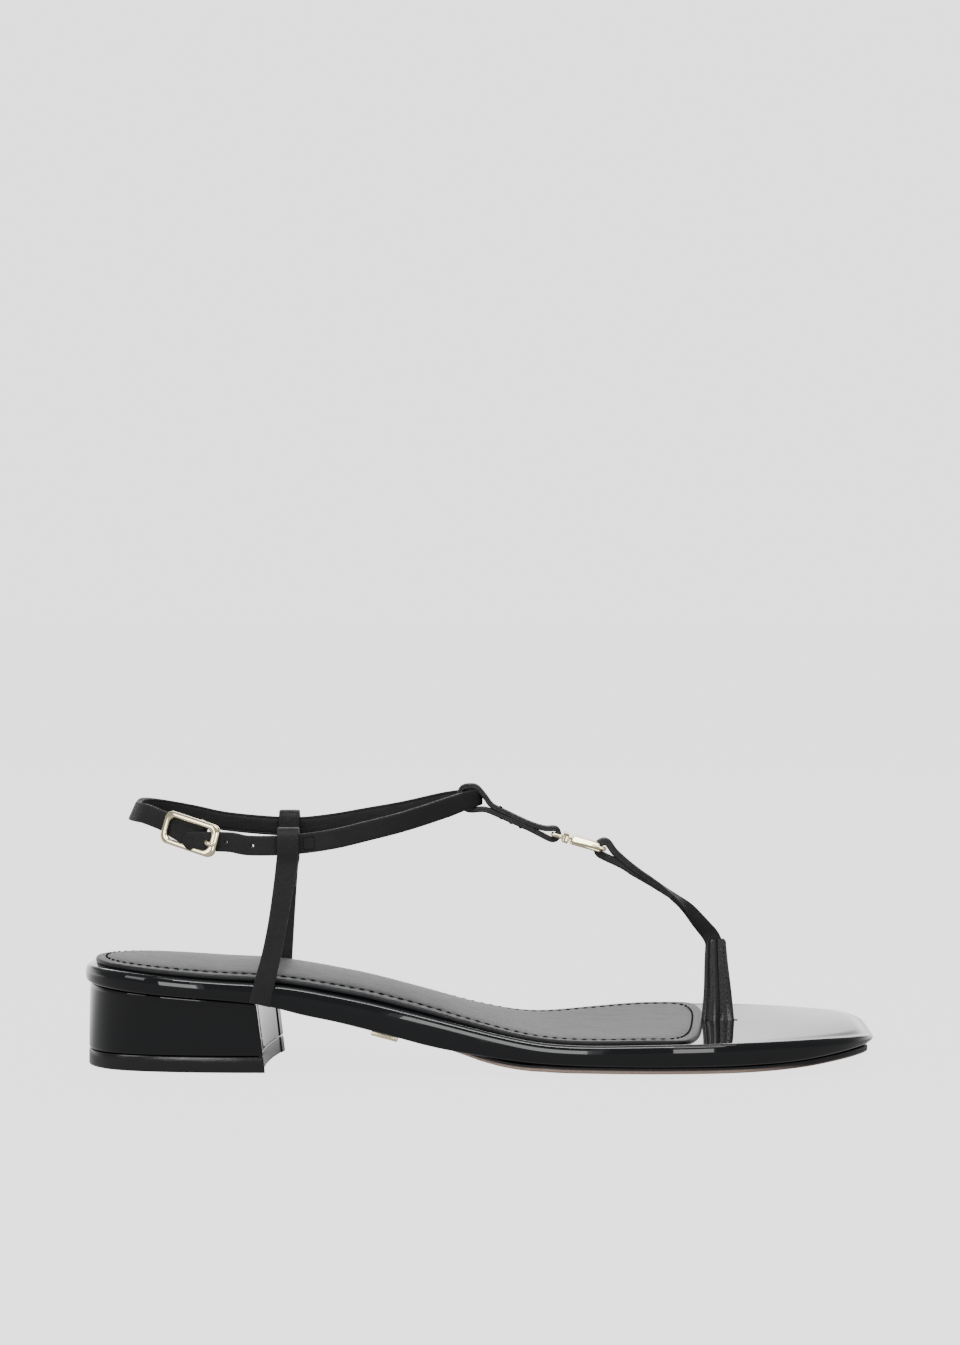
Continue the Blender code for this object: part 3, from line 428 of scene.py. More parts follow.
def grid_piece(name, rows, wrap_rows=False, fill=False, **masks):
    """A grid shaped onto closed rows of points. Rows can meet too, and fill closes what stays open.

    masks: values for each point, kept as attributes.
    """

    def wrapped(values):
        values = np.asarray(values, float)
        values = np.concatenate([values, values[:, :1]], 1)
        return np.concatenate([values, values[:1]], 0) if wrap_rows else values

    rows = wrapped(rows)
    high, wide = rows.shape[:2]
    start_fresh()
    bpy.ops.mesh.primitive_grid_add(x_subdivisions=wide - 1, y_subdivisions=high - 1, size=1)
    thing = bpy.context.object
    thing.name = name
    thing.data.name = name
    thing.data.vertices.foreach_set("co", rows.reshape(-1).astype(np.float32))
    for mask, values in masks.items():
        kept = thing.data.attributes.new(mask, "FLOAT", "POINT")
        kept.data.foreach_set("value", wrapped(values).reshape(-1).astype(np.float32))
    thing.data.update()
    bpy.ops.object.mode_set(mode="EDIT")
    bpy.ops.mesh.select_all(action="SELECT")
    bpy.ops.mesh.remove_doubles(threshold=2e-6)
    if fill:
        bpy.ops.mesh.fill_holes(sides=0)
    bpy.ops.mesh.select_all(action="SELECT")
    bpy.ops.mesh.normals_make_consistent(inside=False)
    bpy.ops.object.mode_set(mode="OBJECT")
    return thing


def applied(thing, kind, **settings):
    """One modifier, set and applied."""
    change = thing.modifiers.new(kind.lower(), kind)
    for key, value in settings.items():
        setattr(change, key, value)
    only(thing)
    bpy.ops.object.modifier_apply(modifier=change.name)
    return thing


def cut_out(thing, cutter):
    """The cutter's form is taken out of the piece."""
    applied(thing, "BOOLEAN", operation="DIFFERENCE", solver="EXACT", object=cutter)
    bpy.data.objects.remove(cutter)


def box(size, middle, turn=(0.0, 0.0, 0.0)):
    start_fresh()
    bpy.ops.mesh.primitive_cube_add(size=1, location=tuple(middle), rotation=turn)
    thing = bpy.context.object
    thing.scale = size
    return settled(thing)


def finished(thing, look, slot_name, *nodes, sharp=40):
    """The piece is smooth up to this angle, has its material and stands for its CAD nodes."""
    only(thing)
    bpy.ops.object.shade_smooth_by_angle(angle=math.radians(sharp))
    thing.data.materials.clear()
    thing.data.materials.append(look)
    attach(thing, "root")
    if nodes:
        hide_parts(*nodes)
    return thing


def drilled(thing, start, end, radius):
    """A round hole from start to end."""
    aim = Vector(end - start)
    start_fresh()
    bpy.ops.mesh.primitive_cylinder_add(
        vertices=20,
        radius=radius,
        depth=aim.length,
        location=tuple((start + end) / 2),
        rotation=aim.to_track_quat("Z", "Y").to_euler(),
    )
    cut_out(thing, bpy.context.object)


def strap_section(crease=0.0, crown=0.0):
    """Once round a strap's section.

    Each row: a share of half the width and an offset, the same for the thickness, and the cut edge's mask.
    """

    def mirrored(run):
        return [(-a, -b, c, d, e) for a, b, c, d, e in run[::-1]]

    r = EDGE_ROUND
    corner = [
        (1.0, -r * 0.05, 1.0, -r * 0.62, 0.8),
        (1.0, -r * 0.45, 1.0, -r * 0.12, 0.35),
        (1.0, -r * 1.3, 1.0, 0.0, 0.0),
    ]
    top = list(corner)
    if crease:
        for edge, deep in ((0.00062, 0.0), (0.00078, crease), (0.00094, 0.0)):
            top.append((1.0, -edge, 1.0, -deep, 0.0))
    flat = [(share, 0.0, 1.0, crown * (1 - share**2), 0.0) for share in (0.6, 0.3, 0.0, -0.3, -0.6)]
    side = [(-1.0, 0.0, 0.25, 0.0, 1.0), (-1.0, 0.00010, 0.0, 0.0, 1.0), (-1.0, 0.0, -0.25, 0.0, 1.0)]
    under = [(-a, -b, -c, -d, e) for a, b, c, d, e in corner]
    below = [(share, 0.0, -1.0, 0.0, 0.0) for share in (-0.5, 0.0, 0.5)]
    last = [(-a, -b, -c, d, e) for a, b, c, d, e in side]
    return top + flat + mirrored(top) + side + under + below + mirrored(under) + last


def strap(name, line, widths, wide, thick, section, closed=False):
    """A strap with this section along a line. widths: the direction of its width at each point."""
    line = np.asarray(line, float)
    count = len(line)
    ahead = np.roll(line, -1, axis=0)
    behind = np.roll(line, 1, axis=0)
    if not closed:
        ahead[-1] = line[-1]
        behind[0] = line[0]
    along = unit(ahead - behind)
    widths = np.broadcast_to(np.asarray(widths, float), line.shape)
    widths = unit(widths - along * (widths * along).sum(1)[:, None])
    facing = np.cross(along, widths)
    wide = np.broadcast_to(np.asarray(wide, float), (count,)) / 2
    thick = np.broadcast_to(np.asarray(thick, float), (count,)) / 2
    columns = []
    edge = []
    for wide_share, wide_offset, thick_share, thick_offset, cut in section:
        a = wide_share * wide + wide_offset * np.minimum(1, wide / 0.002)
        b = thick_share * thick + thick_offset
        columns.append(line + widths * a[:, None] + facing * b[:, None])
        edge.append(np.full(count, cut))
    rows = np.stack(columns, 1)
    edge = np.stack(edge, 1)
    if not closed:
        rows = np.concatenate([rows[:1] * 0 + line[0], rows, rows[-1:] * 0 + line[-1]], 0)
        edge = np.concatenate([edge[:1] * 0 + 1, edge, edge[-1:] * 0 + 1], 0)
    return grid_piece(name, rows, wrap_rows=closed, cut_edge=edge)


def stitches(name, slot_name, points, facing, length, thick, closed=False):
    """A run of stitches, one at each point, along the line of points and lying on the side that faces out."""
    start_fresh()
    bpy.ops.mesh.primitive_uv_sphere_add(segments=8, ring_count=5, radius=0.5)
    model = bpy.context.object
    shape = np.array([v.co for v in model.data.vertices])
    faces = [tuple(p.vertices) for p in model.data.polygons]
    bpy.data.objects.remove(model)
    points = np.asarray(points, float)
    along = np.roll(points, -1, axis=0) - np.roll(points, 1, axis=0)
    if not closed:
        along[0] = points[1] - points[0]
        along[-1] = points[-1] - points[-2]
    along = unit(along)
    facing = np.broadcast_to(np.asarray(facing, float), points.shape)
    facing = unit(facing - along * (facing * along).sum(1)[:, None])
    side = np.cross(facing, along)
    sag = 2.2
    corners = []
    every = []
    for k, point in enumerate(points):
        x = shape[:, :1] * length * along[k]
        y = shape[:, 1:2] * thick * side[k]
        z = (shape[:, 2:] * thick - sag * shape[:, :1] ** 2 * thick) * facing[k]
        corners.append(point + x + y + z)
        every += [tuple(k * len(shape) + v for v in face) for face in faces]
    mesh = bpy.data.meshes.new(name)
    mesh.from_pydata(np.vstack(corners).tolist(), [], every)
    thing = bpy.data.objects.new(name, mesh)
    bpy.context.scene.collection.objects.link(thing)
    return finished(thing, THREAD, slot_name, sharp=80)


# Finishes

def feed(tree, socket, value):
    """Another node's output, or a constant, goes into the socket."""
    if isinstance(value, bpy.types.NodeSocket):
        tree.links.new(value, socket)
    else:
        socket.default_value = value


def add(tree, kind, *inputs, **values):
    """A shader node with its first inputs in order, then inputs by name (_ is a space) or its settings."""
    node = tree.nodes.new("ShaderNode" + kind)
    for socket, value in zip(node.inputs, inputs):
        feed(tree, socket, value)
    for key, value in values.items():
        name = key.replace("_", " ")
        if name in node.inputs:
            feed(tree, node.inputs[name], value)
        else:
            setattr(node, key, value)
    return node


def noise(tree, where, **values):
    return add(tree, "TexNoise", Vector=where, **values).outputs["Fac"]


def times(tree, first, second):
    return add(tree, "Math", first, second, operation="MULTIPLY").outputs[0]


def sum_of(tree, start, *parts):
    """A start value plus each value times its weight."""
    total = start
    for value, weight in parts:
        total = add(tree, "Math", value, weight, total, operation="MULTIPLY_ADD").outputs[0]
    return total


def curve_between(tree, value, low, high, to_low=0.0, to_high=1.0):
    """A soft step from one value to another, while the value given goes from low to high."""
    node = add(tree, "MapRange", value, low, high, to_low, to_high, interpolation_type="SMOOTHSTEP")
    return node.outputs["Result"]


def mixed(tree, mask, first, second):
    """The first colour where the mask is 0, and the second where it is 1."""
    node = add(tree, "Mix", mask, data_type="RGBA")
    for socket, colour in ((node.inputs[6], first), (node.inputs[7], second)):
        feed(tree, socket, (*colour, 1.0) if isinstance(colour, tuple) else colour)
    return node.outputs[2]


def seen_or_not(tree, seen, unseen):
    """One value for the camera and another for light and reflections."""
    node = add(tree, "Mix", add(tree, "LightPath").outputs["Is Camera Ray"], data_type="FLOAT")
    feed(tree, node.inputs[2], unseen)
    feed(tree, node.inputs[3], seen)
    return node.outputs[0]


def group(name, inputs, outputs):
    """An empty shared effect. An input without a start value is a vector."""
    tree = bpy.data.node_groups.new(name, "ShaderNodeTree")
    for socket, value in inputs.items():
        kind = "NodeSocketVector" if value is None else "NodeSocketFloat"
        made = tree.interface.new_socket(name=socket, in_out="INPUT", socket_type=kind)
        if value is not None:
            made.default_value = value
    for socket in outputs:
        tree.interface.new_socket(name=socket, in_out="OUTPUT", socket_type="NodeSocketFloat")
    return tree, tree.nodes.new("NodeGroupInput").outputs, tree.nodes.new("NodeGroupOutput").inputs


def leather_grain():
    """Pebbled grain with pores and long, faint creases. Scale is grains in a metre."""
    start = {"Vector": None, "Scale": 1500.0, "Creases": 0.5}
    tree, given, result = group("leather_grain", start, ["Height"])
    where = given["Vector"]
    bent = add(tree, "TexNoise", Vector=where, Scale=700.0, Detail=2.0)
    shift = (0.0007, 0.0007, 0.0007)
    moved = add(tree, "VectorMath", bent.outputs["Color"], shift, where, operation="MULTIPLY_ADD")
    cells = add(tree, "TexVoronoi", Vector=moved.outputs[0], Scale=given["Scale"], feature="DISTANCE_TO_EDGE")
    domes = curve_between(tree, cells.outputs["Distance"], 0.0, 0.28)
    pores = noise(tree, where, Scale=4200.0, Detail=4.0, Roughness=0.65)
    pulled = add(tree, "Mapping", Vector=where, Scale=(90.0, 420.0, 420.0)).outputs["Vector"]
    lines = noise(tree, pulled, Scale=1.0, Detail=3.0, Roughness=0.5, Distortion=0.6)
    creases = times(tree, curve_between(tree, lines, 0.42, 0.52), given["Creases"])
    feed(tree, result["Height"], sum_of(tree, 0.0, (domes, 0.6), (pores, 0.35), (creases, 0.5)))
    return tree


def handled_film():
    """Slow waves of a stretched lacquer film, with smudges and dust specks. Waves in a metre."""
    tree, given, result = group("handled_film", {"Vector": None, "Waves": 70.0}, ["Height", "Smudge", "Dust"])
    where = given["Vector"]
    slow = noise(tree, where, Scale=given["Waves"], Detail=1.5, Roughness=0.4, Distortion=0.3)
    peel = noise(tree, where, Scale=900.0, Detail=1.0)
    feed(tree, result["Height"], sum_of(tree, 0.0, (slow, 1.0), (peel, 0.010)))
    smear = noise(tree, where, Scale=110.0, Detail=3.0, Distortion=1.2)
    feed(tree, result["Smudge"], curve_between(tree, smear, 0.50, 0.72))
    specks = add(tree, "TexVoronoi", Vector=where, Scale=520.0)
    near = curve_between(tree, specks.outputs["Distance"], 0.03, 0.07, 1.0, 0.0)
    rare = curve_between(tree, noise(tree, where, Scale=300.0, Detail=1.0), 0.62, 0.66)
    feed(tree, result["Dust"], times(tree, near, rare))
    return tree


GRAIN = leather_grain()
FILM = handled_film()


def finish(name, **values):
    """A new material with its main shader's own constant values set."""
    look = bpy.data.materials.new(name)
    look.use_nodes = True
    tree = look.node_tree
    for key, value in values.items():
        tree.nodes["Principled BSDF"].inputs[key.replace("_", " ")].default_value = value
    return look, tree, add(tree, "TexCoord").outputs["Object"]


def placed(tree, kind, where, **values):
    """A shared effect set into a material."""
    node = tree.nodes.new("ShaderNodeGroup")
    node.node_tree = kind
    feed(tree, node.inputs["Vector"], where)
    for key, value in values.items():
        node.inputs[key].default_value = value
    return node.outputs


def dressed(look, colour, roughness, height, depth):
    """The material takes its colour and roughness, and the height as relief of this depth."""
    tree = look.node_tree
    shader = tree.nodes["Principled BSDF"].inputs
    feed(tree, shader["Base Color"], colour)
    feed(tree, shader["Roughness"], roughness)
    relief = add(tree, "Bump", Strength=1.0, Distance=depth, Height=height)
    feed(tree, shader["Normal"], relief.outputs["Normal"])
    return look


def make_patent(name, depth=0.00009, waves=60.0):
    look, tree, where = finish(
        name, IOR=1.36, Coat_Weight=1.0, Coat_Roughness=0.012, Coat_IOR=1.36, Specular_IOR_Level=0.25
    )
    film = placed(tree, FILM, where, Waves=waves)
    colour = mixed(tree, film["Dust"], (0.0030, 0.0034, 0.0043), (0.016, 0.016, 0.017))
    clean = 0.045
    rough = sum_of(tree, clean, (film["Smudge"], 0.10), (film["Dust"], 0.3))
    return dressed(look, colour, rough, film["Height"], depth)


def make_leather(name, dark, light, rough, scale, depth, creases, edge=None, coat=0.0, ior=1.45):
    """Grained leather in patches of two tones. edge: the colour of a strap's cut edge, lighter grey partly as
    raw, fuzzy leather and partly as a painted highlight where the edge catches light.
    """
    look, tree, where = finish(name, IOR=ior, Coat_Weight=coat, Coat_Roughness=0.15)
    grain = placed(tree, GRAIN, where, Scale=scale, Creases=creases)
    tone = mixed(tree, noise(tree, where, Scale=160.0, Detail=3.0), dark, light)
    if edge:
        # The cut edge turns lighter grey in patches: partly raw, fuzzy leather and partly a painted highlight
        # where the edge catches light.
        cut = add(tree, "Attribute", attribute_name="cut_edge")
        rub = noise(tree, where, Scale=900.0, Detail=4.0, Roughness=0.7)
        worn = curve_between(tree, rub, 0.35, 0.65, 0.35, 1.0)
        tone = mixed(tree, times(tree, cut.outputs["Fac"], worn), tone, edge)
    roughness = curve_between(tree, grain["Height"], 0.2, 1.1, rough + 0.12, rough - 0.05)
    return dressed(look, tone, roughness, grain["Height"], depth)


def make_gold(name, rough=0.07, brushed=0.0):
    look, tree, where = finish(name, Metallic=1.0)
    film = placed(tree, FILM, where, Waves=420.0)
    colour = mixed(tree, film["Smudge"], (0.96, 0.85, 0.57), (0.90, 0.78, 0.50))
    pulled = add(tree, "Mapping", Vector=where, Scale=(160.0, 5200.0, 5200.0)).outputs["Vector"]
    scratch = noise(tree, pulled, Scale=1.0, Detail=3.0)
    roughness = curve_between(tree, scratch, 0.35, 0.75, rough - 0.04, rough + 0.04)
    return dressed(look, colour, roughness, scratch, 0.000004 + brushed)


def make_resin():
    look, tree, where = finish("outsole_resin", IOR=1.45)
    grain = placed(tree, GRAIN, where, Scale=900.0, Creases=1.0)
    fleck = noise(tree, where, Scale=1400.0, Detail=5.0, Roughness=0.7)
    plain = mixed(tree, curve_between(tree, fleck, 0.35, 0.70), (0.47, 0.345, 0.295), (0.36, 0.255, 0.215))
    ink = add(tree, "Attribute", attribute_name="inked")
    colour = mixed(tree, ink.outputs["Fac"], plain, (0.008, 0.008, 0.009))
    return dressed(look, colour, curve_between(tree, fleck, 0.3, 0.7, 0.50, 0.66), grain["Height"], 0.00004)


def make_rubber():
    """Black rubber, matt where it stands on the floor and polished above."""
    look, tree, where = finish("heel_rubber", IOR=1.5)
    fleck = noise(tree, where, Scale=2600.0, Detail=4.0, Roughness=0.7)
    colour = mixed(tree, fleck, (0.004, 0.004, 0.005), (0.010, 0.010, 0.011))
    level = add(tree, "SeparateXYZ", where)
    worn = curve_between(tree, level.outputs["Z"], 0.0, 0.0007, 0.62, 0.10)
    return dressed(look, colour, worn, fleck, 0.00003)


def make_thread():
    look, tree, where = finish("waxed_thread", IOR=1.2, Specular_IOR_Level=0.3)
    wave = add(tree, "TexWave", Vector=where, Scale=900.0, Distortion=2.0, Detail=2.0)
    wave.bands_direction = "DIAGONAL"
    twist = wave.outputs["Fac"]
    colour = mixed(tree, twist, (0.003, 0.003, 0.0035), (0.012, 0.012, 0.013))
    return dressed(look, colour, curve_between(tree, twist, 0.0, 1.0, 0.85, 0.65), twist, 0.00005)


PATENT = make_patent("patent_leather")
HEEL_PATENT = make_patent("heel_patent", depth=0.00005, waves=45.0)
SOCK_LEATHER = make_leather(
    "sock_leather", (0.010, 0.010, 0.011), (0.018, 0.018, 0.019), 0.33, 2600.0, 0.000045, 0.3, ior=1.33
)
POST_LEATHER = make_leather(
    "post_leather", (0.006, 0.006, 0.007), (0.011, 0.011, 0.012), 0.30, 2300.0, 0.00003, 0.4, coat=0.5
)
# The straps' cut edge colour is a lighter grey: partly raw, fuzzy leather and partly a painted highlight.
STRAP_LEATHER = make_leather(
    "strap_leather", (0.0075, 0.0075, 0.0082), (0.0125, 0.0125, 0.0132), 0.52, 2100.0, 0.00005, 0.6,
    edge=(0.030, 0.030, 0.032), ior=1.33,
)
GOLD = make_gold("pale_gold")
PLATE_GOLD = make_gold("brushed_gold", 0.26, 0.00001)
RESIN = make_resin()
RUBBER = make_rubber()
THREAD = make_thread()


# The wrapped sole

def make_wrap():
    floor = underside(EDGE[:, 0], EDGE[:, 1])
    wall = relaxed(np.maximum(EDGE[:, 3], floor * (EDGE[:, 0] > 0)), 4, closed=True)
    toe = clamped((EDGE[:, 0] - 0.088) / 0.018)
    wall = wall + 0.75 * toe * (floor - wall)
    rim = EDGE[:, 2]
    tall = rim - wall
    lip = outline(0.0020)
    tuck = clamped(12 * lip[:, 0] / SOLE_LENGTH)

    def inner(distance, share, heights, reach=0.022):
        loop = toward_spine(outline(distance), share, reach)
        return raised(loop, heights(*loop.T))

    rows = [inner(OUTSOLE_INSET, share, underside) for share in (1.0, 0.8, 0.6, 0.4, 0.2)]
    rows += [inner(0.0042, 0.0, underside), raised(lip, wall + (underside(*lip.T) - wall) * tuck)]
    low = np.minimum(0.0016, 0.33 * tall)
    top = np.minimum(0.0015, 0.33 * tall)
    for distance, share in (
        (0.0012, 0.0), (0.0008, 0.03), (0.00045, 0.13), (0.0002, 0.32), (0.00005, 0.62), (0.0, 1.0),
    ):
        rows.append(raised(outline(distance), wall + low * share))
    for share in (0.25, 0.5, 0.75):
        bulge = 0.00012 * 4 * share * (1 - share)
        rows.append(raised(outline(-bulge), wall + low + (tall - low - top) * share))
    for degrees in range(0, 91, 15):
        turn = math.radians(degrees)
        rows.append(raised(outline(0.0013 * (1 - math.cos(turn))), rim - top * (1 - math.sin(turn))))
    for distance in (0.0019, 0.0026, 0.0034, 0.0045):
        loop = outline(distance)
        blend = clamped((distance - 0.0013) / 0.0032)
        rows.append(raised(loop, rim + (footbed(*loop.T) - rim) * blend))
    shares = (0.0, 0.08, 0.18, 0.3, 0.44, 0.58, 0.72, 0.86, 1.0)
    rows += [inner(0.0060, share, footbed, 0.016) for share in shares]
    thing = grid_piece("patent_wrap", rows)
    slot_depth = 0.020
    slot_size = (THONG_BASE_WIDTH + 3 * GAP, THONG_THICKNESS + 3 * GAP, slot_depth)
    cut_out(thing, box(slot_size, place(THONG_FOOT) + (0, 0, slot_depth / 2 - GAP)))
    return finished(thing, PATENT, "patent_leather", "platform")


def sock_loop(distance):
    """The sock's plan loop. Its front is round at the corners and bulges towards the toes."""
    share = 1 - (1 - np.linspace(0, 1, 190)) ** 1.5
    sides = []
    fronts = (SOCK_FRONT_LATERAL, SOCK_FRONT_MEDIAL)
    for side, front in zip(two_sides(outline(SOCK_INSET + distance)), fronts):
        end = front * SOLE_LENGTH - distance
        sides.append(sampled(np.vstack([side[side[:, 0] < end], point_at(side, end)]), share))
    middle = (sides[0] + sides[1]) / 2
    left = clamped((middle[-1, 0] - middle[:, 0]) / SOCK_NOSE)
    narrow = (1 - (1 - left) ** 3.0) ** (1 / 3.0)
    sides = [middle + (side - middle) * narrow[:, None] for side in sides]
    return np.vstack([sides[0], sides[1][::-1]])


def sock_top(loop, height=1.0, more=0.0):
    """Heights over the footbed for a sock this share of its thickness. Its front is pared thin."""
    pared = 1 - 0.50 * eased((loop[:, 0] - 0.050) / 0.022)
    return footbed(*loop.T) + GAP + 0.75 * SOCK_THICKNESS * height * pared + more


def make_sock():
    def level(distance, height=1.0, more=0.0, share=0.0):
        loop = toward_spine(sock_loop(distance), share, 0.012)
        return raised(loop, sock_top(loop, height, more))

    down = -1.2 * GAP
    rows = [level(0.002, 0.0, down, share) for share in (1.0, 0.7, 0.4, 0.1, 0.0)]
    rows += [level(0.0001, 0.0, down), level(0.0, 0.0, 0.6 * down)]
    for distance, height in (
        (0.0, 0.30), (0.00004, 0.55), (0.00014, 0.76), (0.0003, 0.90), (0.0006, 0.98), (0.0012, 1.0),
        (0.0022, 1.0),
    ):
        rows.append(level(distance, height))
    for distance, more in (
        (0.0027, -0.00004), (0.0030, -0.00014), (0.0033, -0.00020), (0.0036, -0.00014), (0.0040, -0.00002),
        (0.0048, 0.00012), (0.0062, 0.00024),
    ):
        rows.append(level(distance, more=more))
    rows += [level(0.0075, 1.0, 0.00030, share) for share in (0.06, 0.16, 0.3, 0.45, 0.6, 0.75, 0.88, 1.0)]
    finished(grid_piece("sock_lining", rows), SOCK_LEATHER, "sock_leather", "insole_sock", sharp=50)
    line = spaced(sock_loop(0.0033), STITCH_PITCH, closed=True)
    sewn = raised(line, sock_top(line, 1.0, 0.00002))
    return stitches("sock_stitching", "sock_leather", sewn, UPWARD, 0.0022, 0.00060, closed=True)


def make_outsole():
    """The thin sole. Its edge is inked black, lower down at the toe than along the sides."""
    start = (BREAST_MEDIAL + 0.004) * SOLE_LENGTH
    inks = []

    def level(distance, share, rise, ink=0.0, toe_ink=0.0):
        sides = []
        for side in two_sides(outline(OUTSOLE_INSET + distance)):
            run = np.vstack([point_at(side, start), side[side[:, 0] > start]])
            sides.append(sampled(run, np.linspace(0, 1, 150)))
        loop = np.vstack([sides[0], sides[1][::-1]])
        waist = eased((0.03 * SOLE_LENGTH - loop[:, 0]) / (0.09 * SOLE_LENGTH))
        middle = (loop + loop[::-1])[:, 1] / 2
        loop[:, 1] += np.sign(middle - loop[:, 1]) * OUTSOLE_WAIST_INSET * waist
        loop = toward_spine(loop, share, 0.020)
        toe = clamped((loop[:, 0] - 0.078) / 0.022)
        inks.append(ink + (max(ink, toe_ink) - ink) * toe)
        return raised(loop, underside(*loop.T) - GAP - OUTSOLE_THICKNESS + rise)

    thick = OUTSOLE_THICKNESS
    touching = thick + 1.3 * GAP
    rows = [level(0.0024, share, 0.0) for share in (1.0, 0.8, 0.6, 0.4, 0.2, 0.0)]
    for distance, rise, ink, toe_ink in (
        (0.0010, 0.00004, 0.0, 0.0), (0.0003, 0.00018, 0.0, 0.6), (0.0, 0.0005, 0.10, 1.0),
        (0.0, 0.0008, 0.25, 1.0), (0.0, 0.0011, 0.95, 1.0), (0.0, thick - 0.0002, 1.0, 1.0),
        (0.0, thick + 0.5 * GAP, 1.0, 1.0),
        (0.0004, touching, 1.0, 1.0), (0.0026, touching, 1.0, 1.0),
    ):
        rows.append(level(distance, 0.0, rise, ink, toe_ink))
    rows += [level(0.0026, share, touching, 1.0, 1.0) for share in (0.2, 0.4, 0.6, 0.8, 1.0)]
    thing = grid_piece("outsole_sheet", rows, inked=np.array(inks))
    return finished(thing, RESIN, "outsole_resin", "outsole")


# The heel

def breast_x(y, z):
    """Where the heel's front face is, at a place across and a height."""
    share = (y + 0.295 * BALL_WIDTH) / (0.59 * BALL_WIDTH)
    line = (BREAST_LATERAL + (BREAST_MEDIAL - BREAST_LATERAL) * share) * SOLE_LENGTH
    lean = 1.3 * BREAST_LEAN * (z + 0.002) / (1.1 * HEEL_RIM_HEIGHT + 0.002)
    return line - BREAST_HOLLOW * (1 - (2 * share - 1) ** 2) - lean


def heel_row(height, draw_in):
    """Once round the heel at a height, from the foot's outline to the seat's, drawn in by so much."""
    spread = (height / HEEL_SEAT) ** 1.6
    foot = relaxed(smooth(HEEL_FOOT, 8), 3) * (SOLE_LENGTH, BALL_WIDTH, BALL_WIDTH)
    back = draw_in * clamped(1 - (foot[:, 0] - foot[0, 0]) / 0.02)
    runs = []
    for column, seat, sign in zip((1, 2), two_sides(outline(HEEL_TOP_INSET)), (1, -1)):
        above = np.interp(foot[:, 0], seat[:, 0], seat[:, 1])
        y = foot[:, column] + (above - foot[:, column]) * spread + sign * draw_in
        bend = np.linspace(foot[-1, 0], breast_x(y[-1], height) - draw_in * 0.3, 12)[1:]
        runs.append(np.stack([np.r_[foot[:, 0] + back, bend], np.r_[y, np.full(len(bend), y[-1])]], 1))
    around = relaxed(spaced(np.vstack([runs[0][::-1], runs[1]]), 0.0008), 8)
    around = sampled(around, np.linspace(0, 1, 200))
    share = np.r_[0.004, 0.03, 0.062, 0.068, np.linspace(0.1, 0.9, 17), 0.932, 0.938, 0.97, 0.996]
    y = around[-1, 1] + (around[0, 1] - around[-1, 1]) * share
    lap = np.where((share < 0.065) | (share > 0.935), 0.0, -0.00035)
    return np.vstack([around, np.stack([breast_x(y, height) + lap - draw_in * 0.3, y], 1)])


def make_heel():
    foot = LIFT_HEIGHT + GAP
    edge = [(0.0, 0.0006), (0.004, 0.0002), (0.02, 0.00005)]
    straight = [(share, 0.0) for share in (0.05, 0.2, 0.35, 0.5, 0.65, 0.8, 0.92)]
    rows = []
    for share, draw_in in edge + straight + [(0.965, 0.00005), (0.985, 0.0002), (1.0, 0.0006)]:
        row = heel_row(foot + (HEEL_COVER_TOP - foot) * share, draw_in)
        seat = np.minimum(at("floor", row[:, 0]), at("wall", row[:, 0])) - GAP
        rows.append(raised(row, foot + (seat - foot) * share))
    cover = grid_piece("heel_cover", rows, fill=True)
    finished(cover, HEEL_PATENT, "patent_leather", "heel_block", sharp=32)

    rows = []
    for height, draw_in in (
        (0.0, 0.0004), (0.00012, 0.00015), (0.0005, 0.0), (0.0025, 0.0), (0.0046, 0.0), (0.0049, 0.00012),
        (LIFT_HEIGHT, 0.0004),
    ):
        row = heel_row(height, draw_in)
        rows.append(raised(row, np.full(len(row), height)))
    lift = grid_piece("heel_lift", rows, fill=True)
    return finished(lift, RUBBER, "heel_rubber", "heel_top_piece", sharp=32)


# The straps

def buckle_axes():
    """The buckle's middle, and its directions along the strap, away from the foot and up."""
    along = unit(BUCKLE_ALONG)
    out = unit(np.cross(along, UPWARD))
    out = out if out[1] < 0 else -out
    up = np.cross(out, along)
    up = up if up[2] > 0 else -up
    return place(BUCKLE_CENTRE) + (0, 0, 0.0004), along, out, up


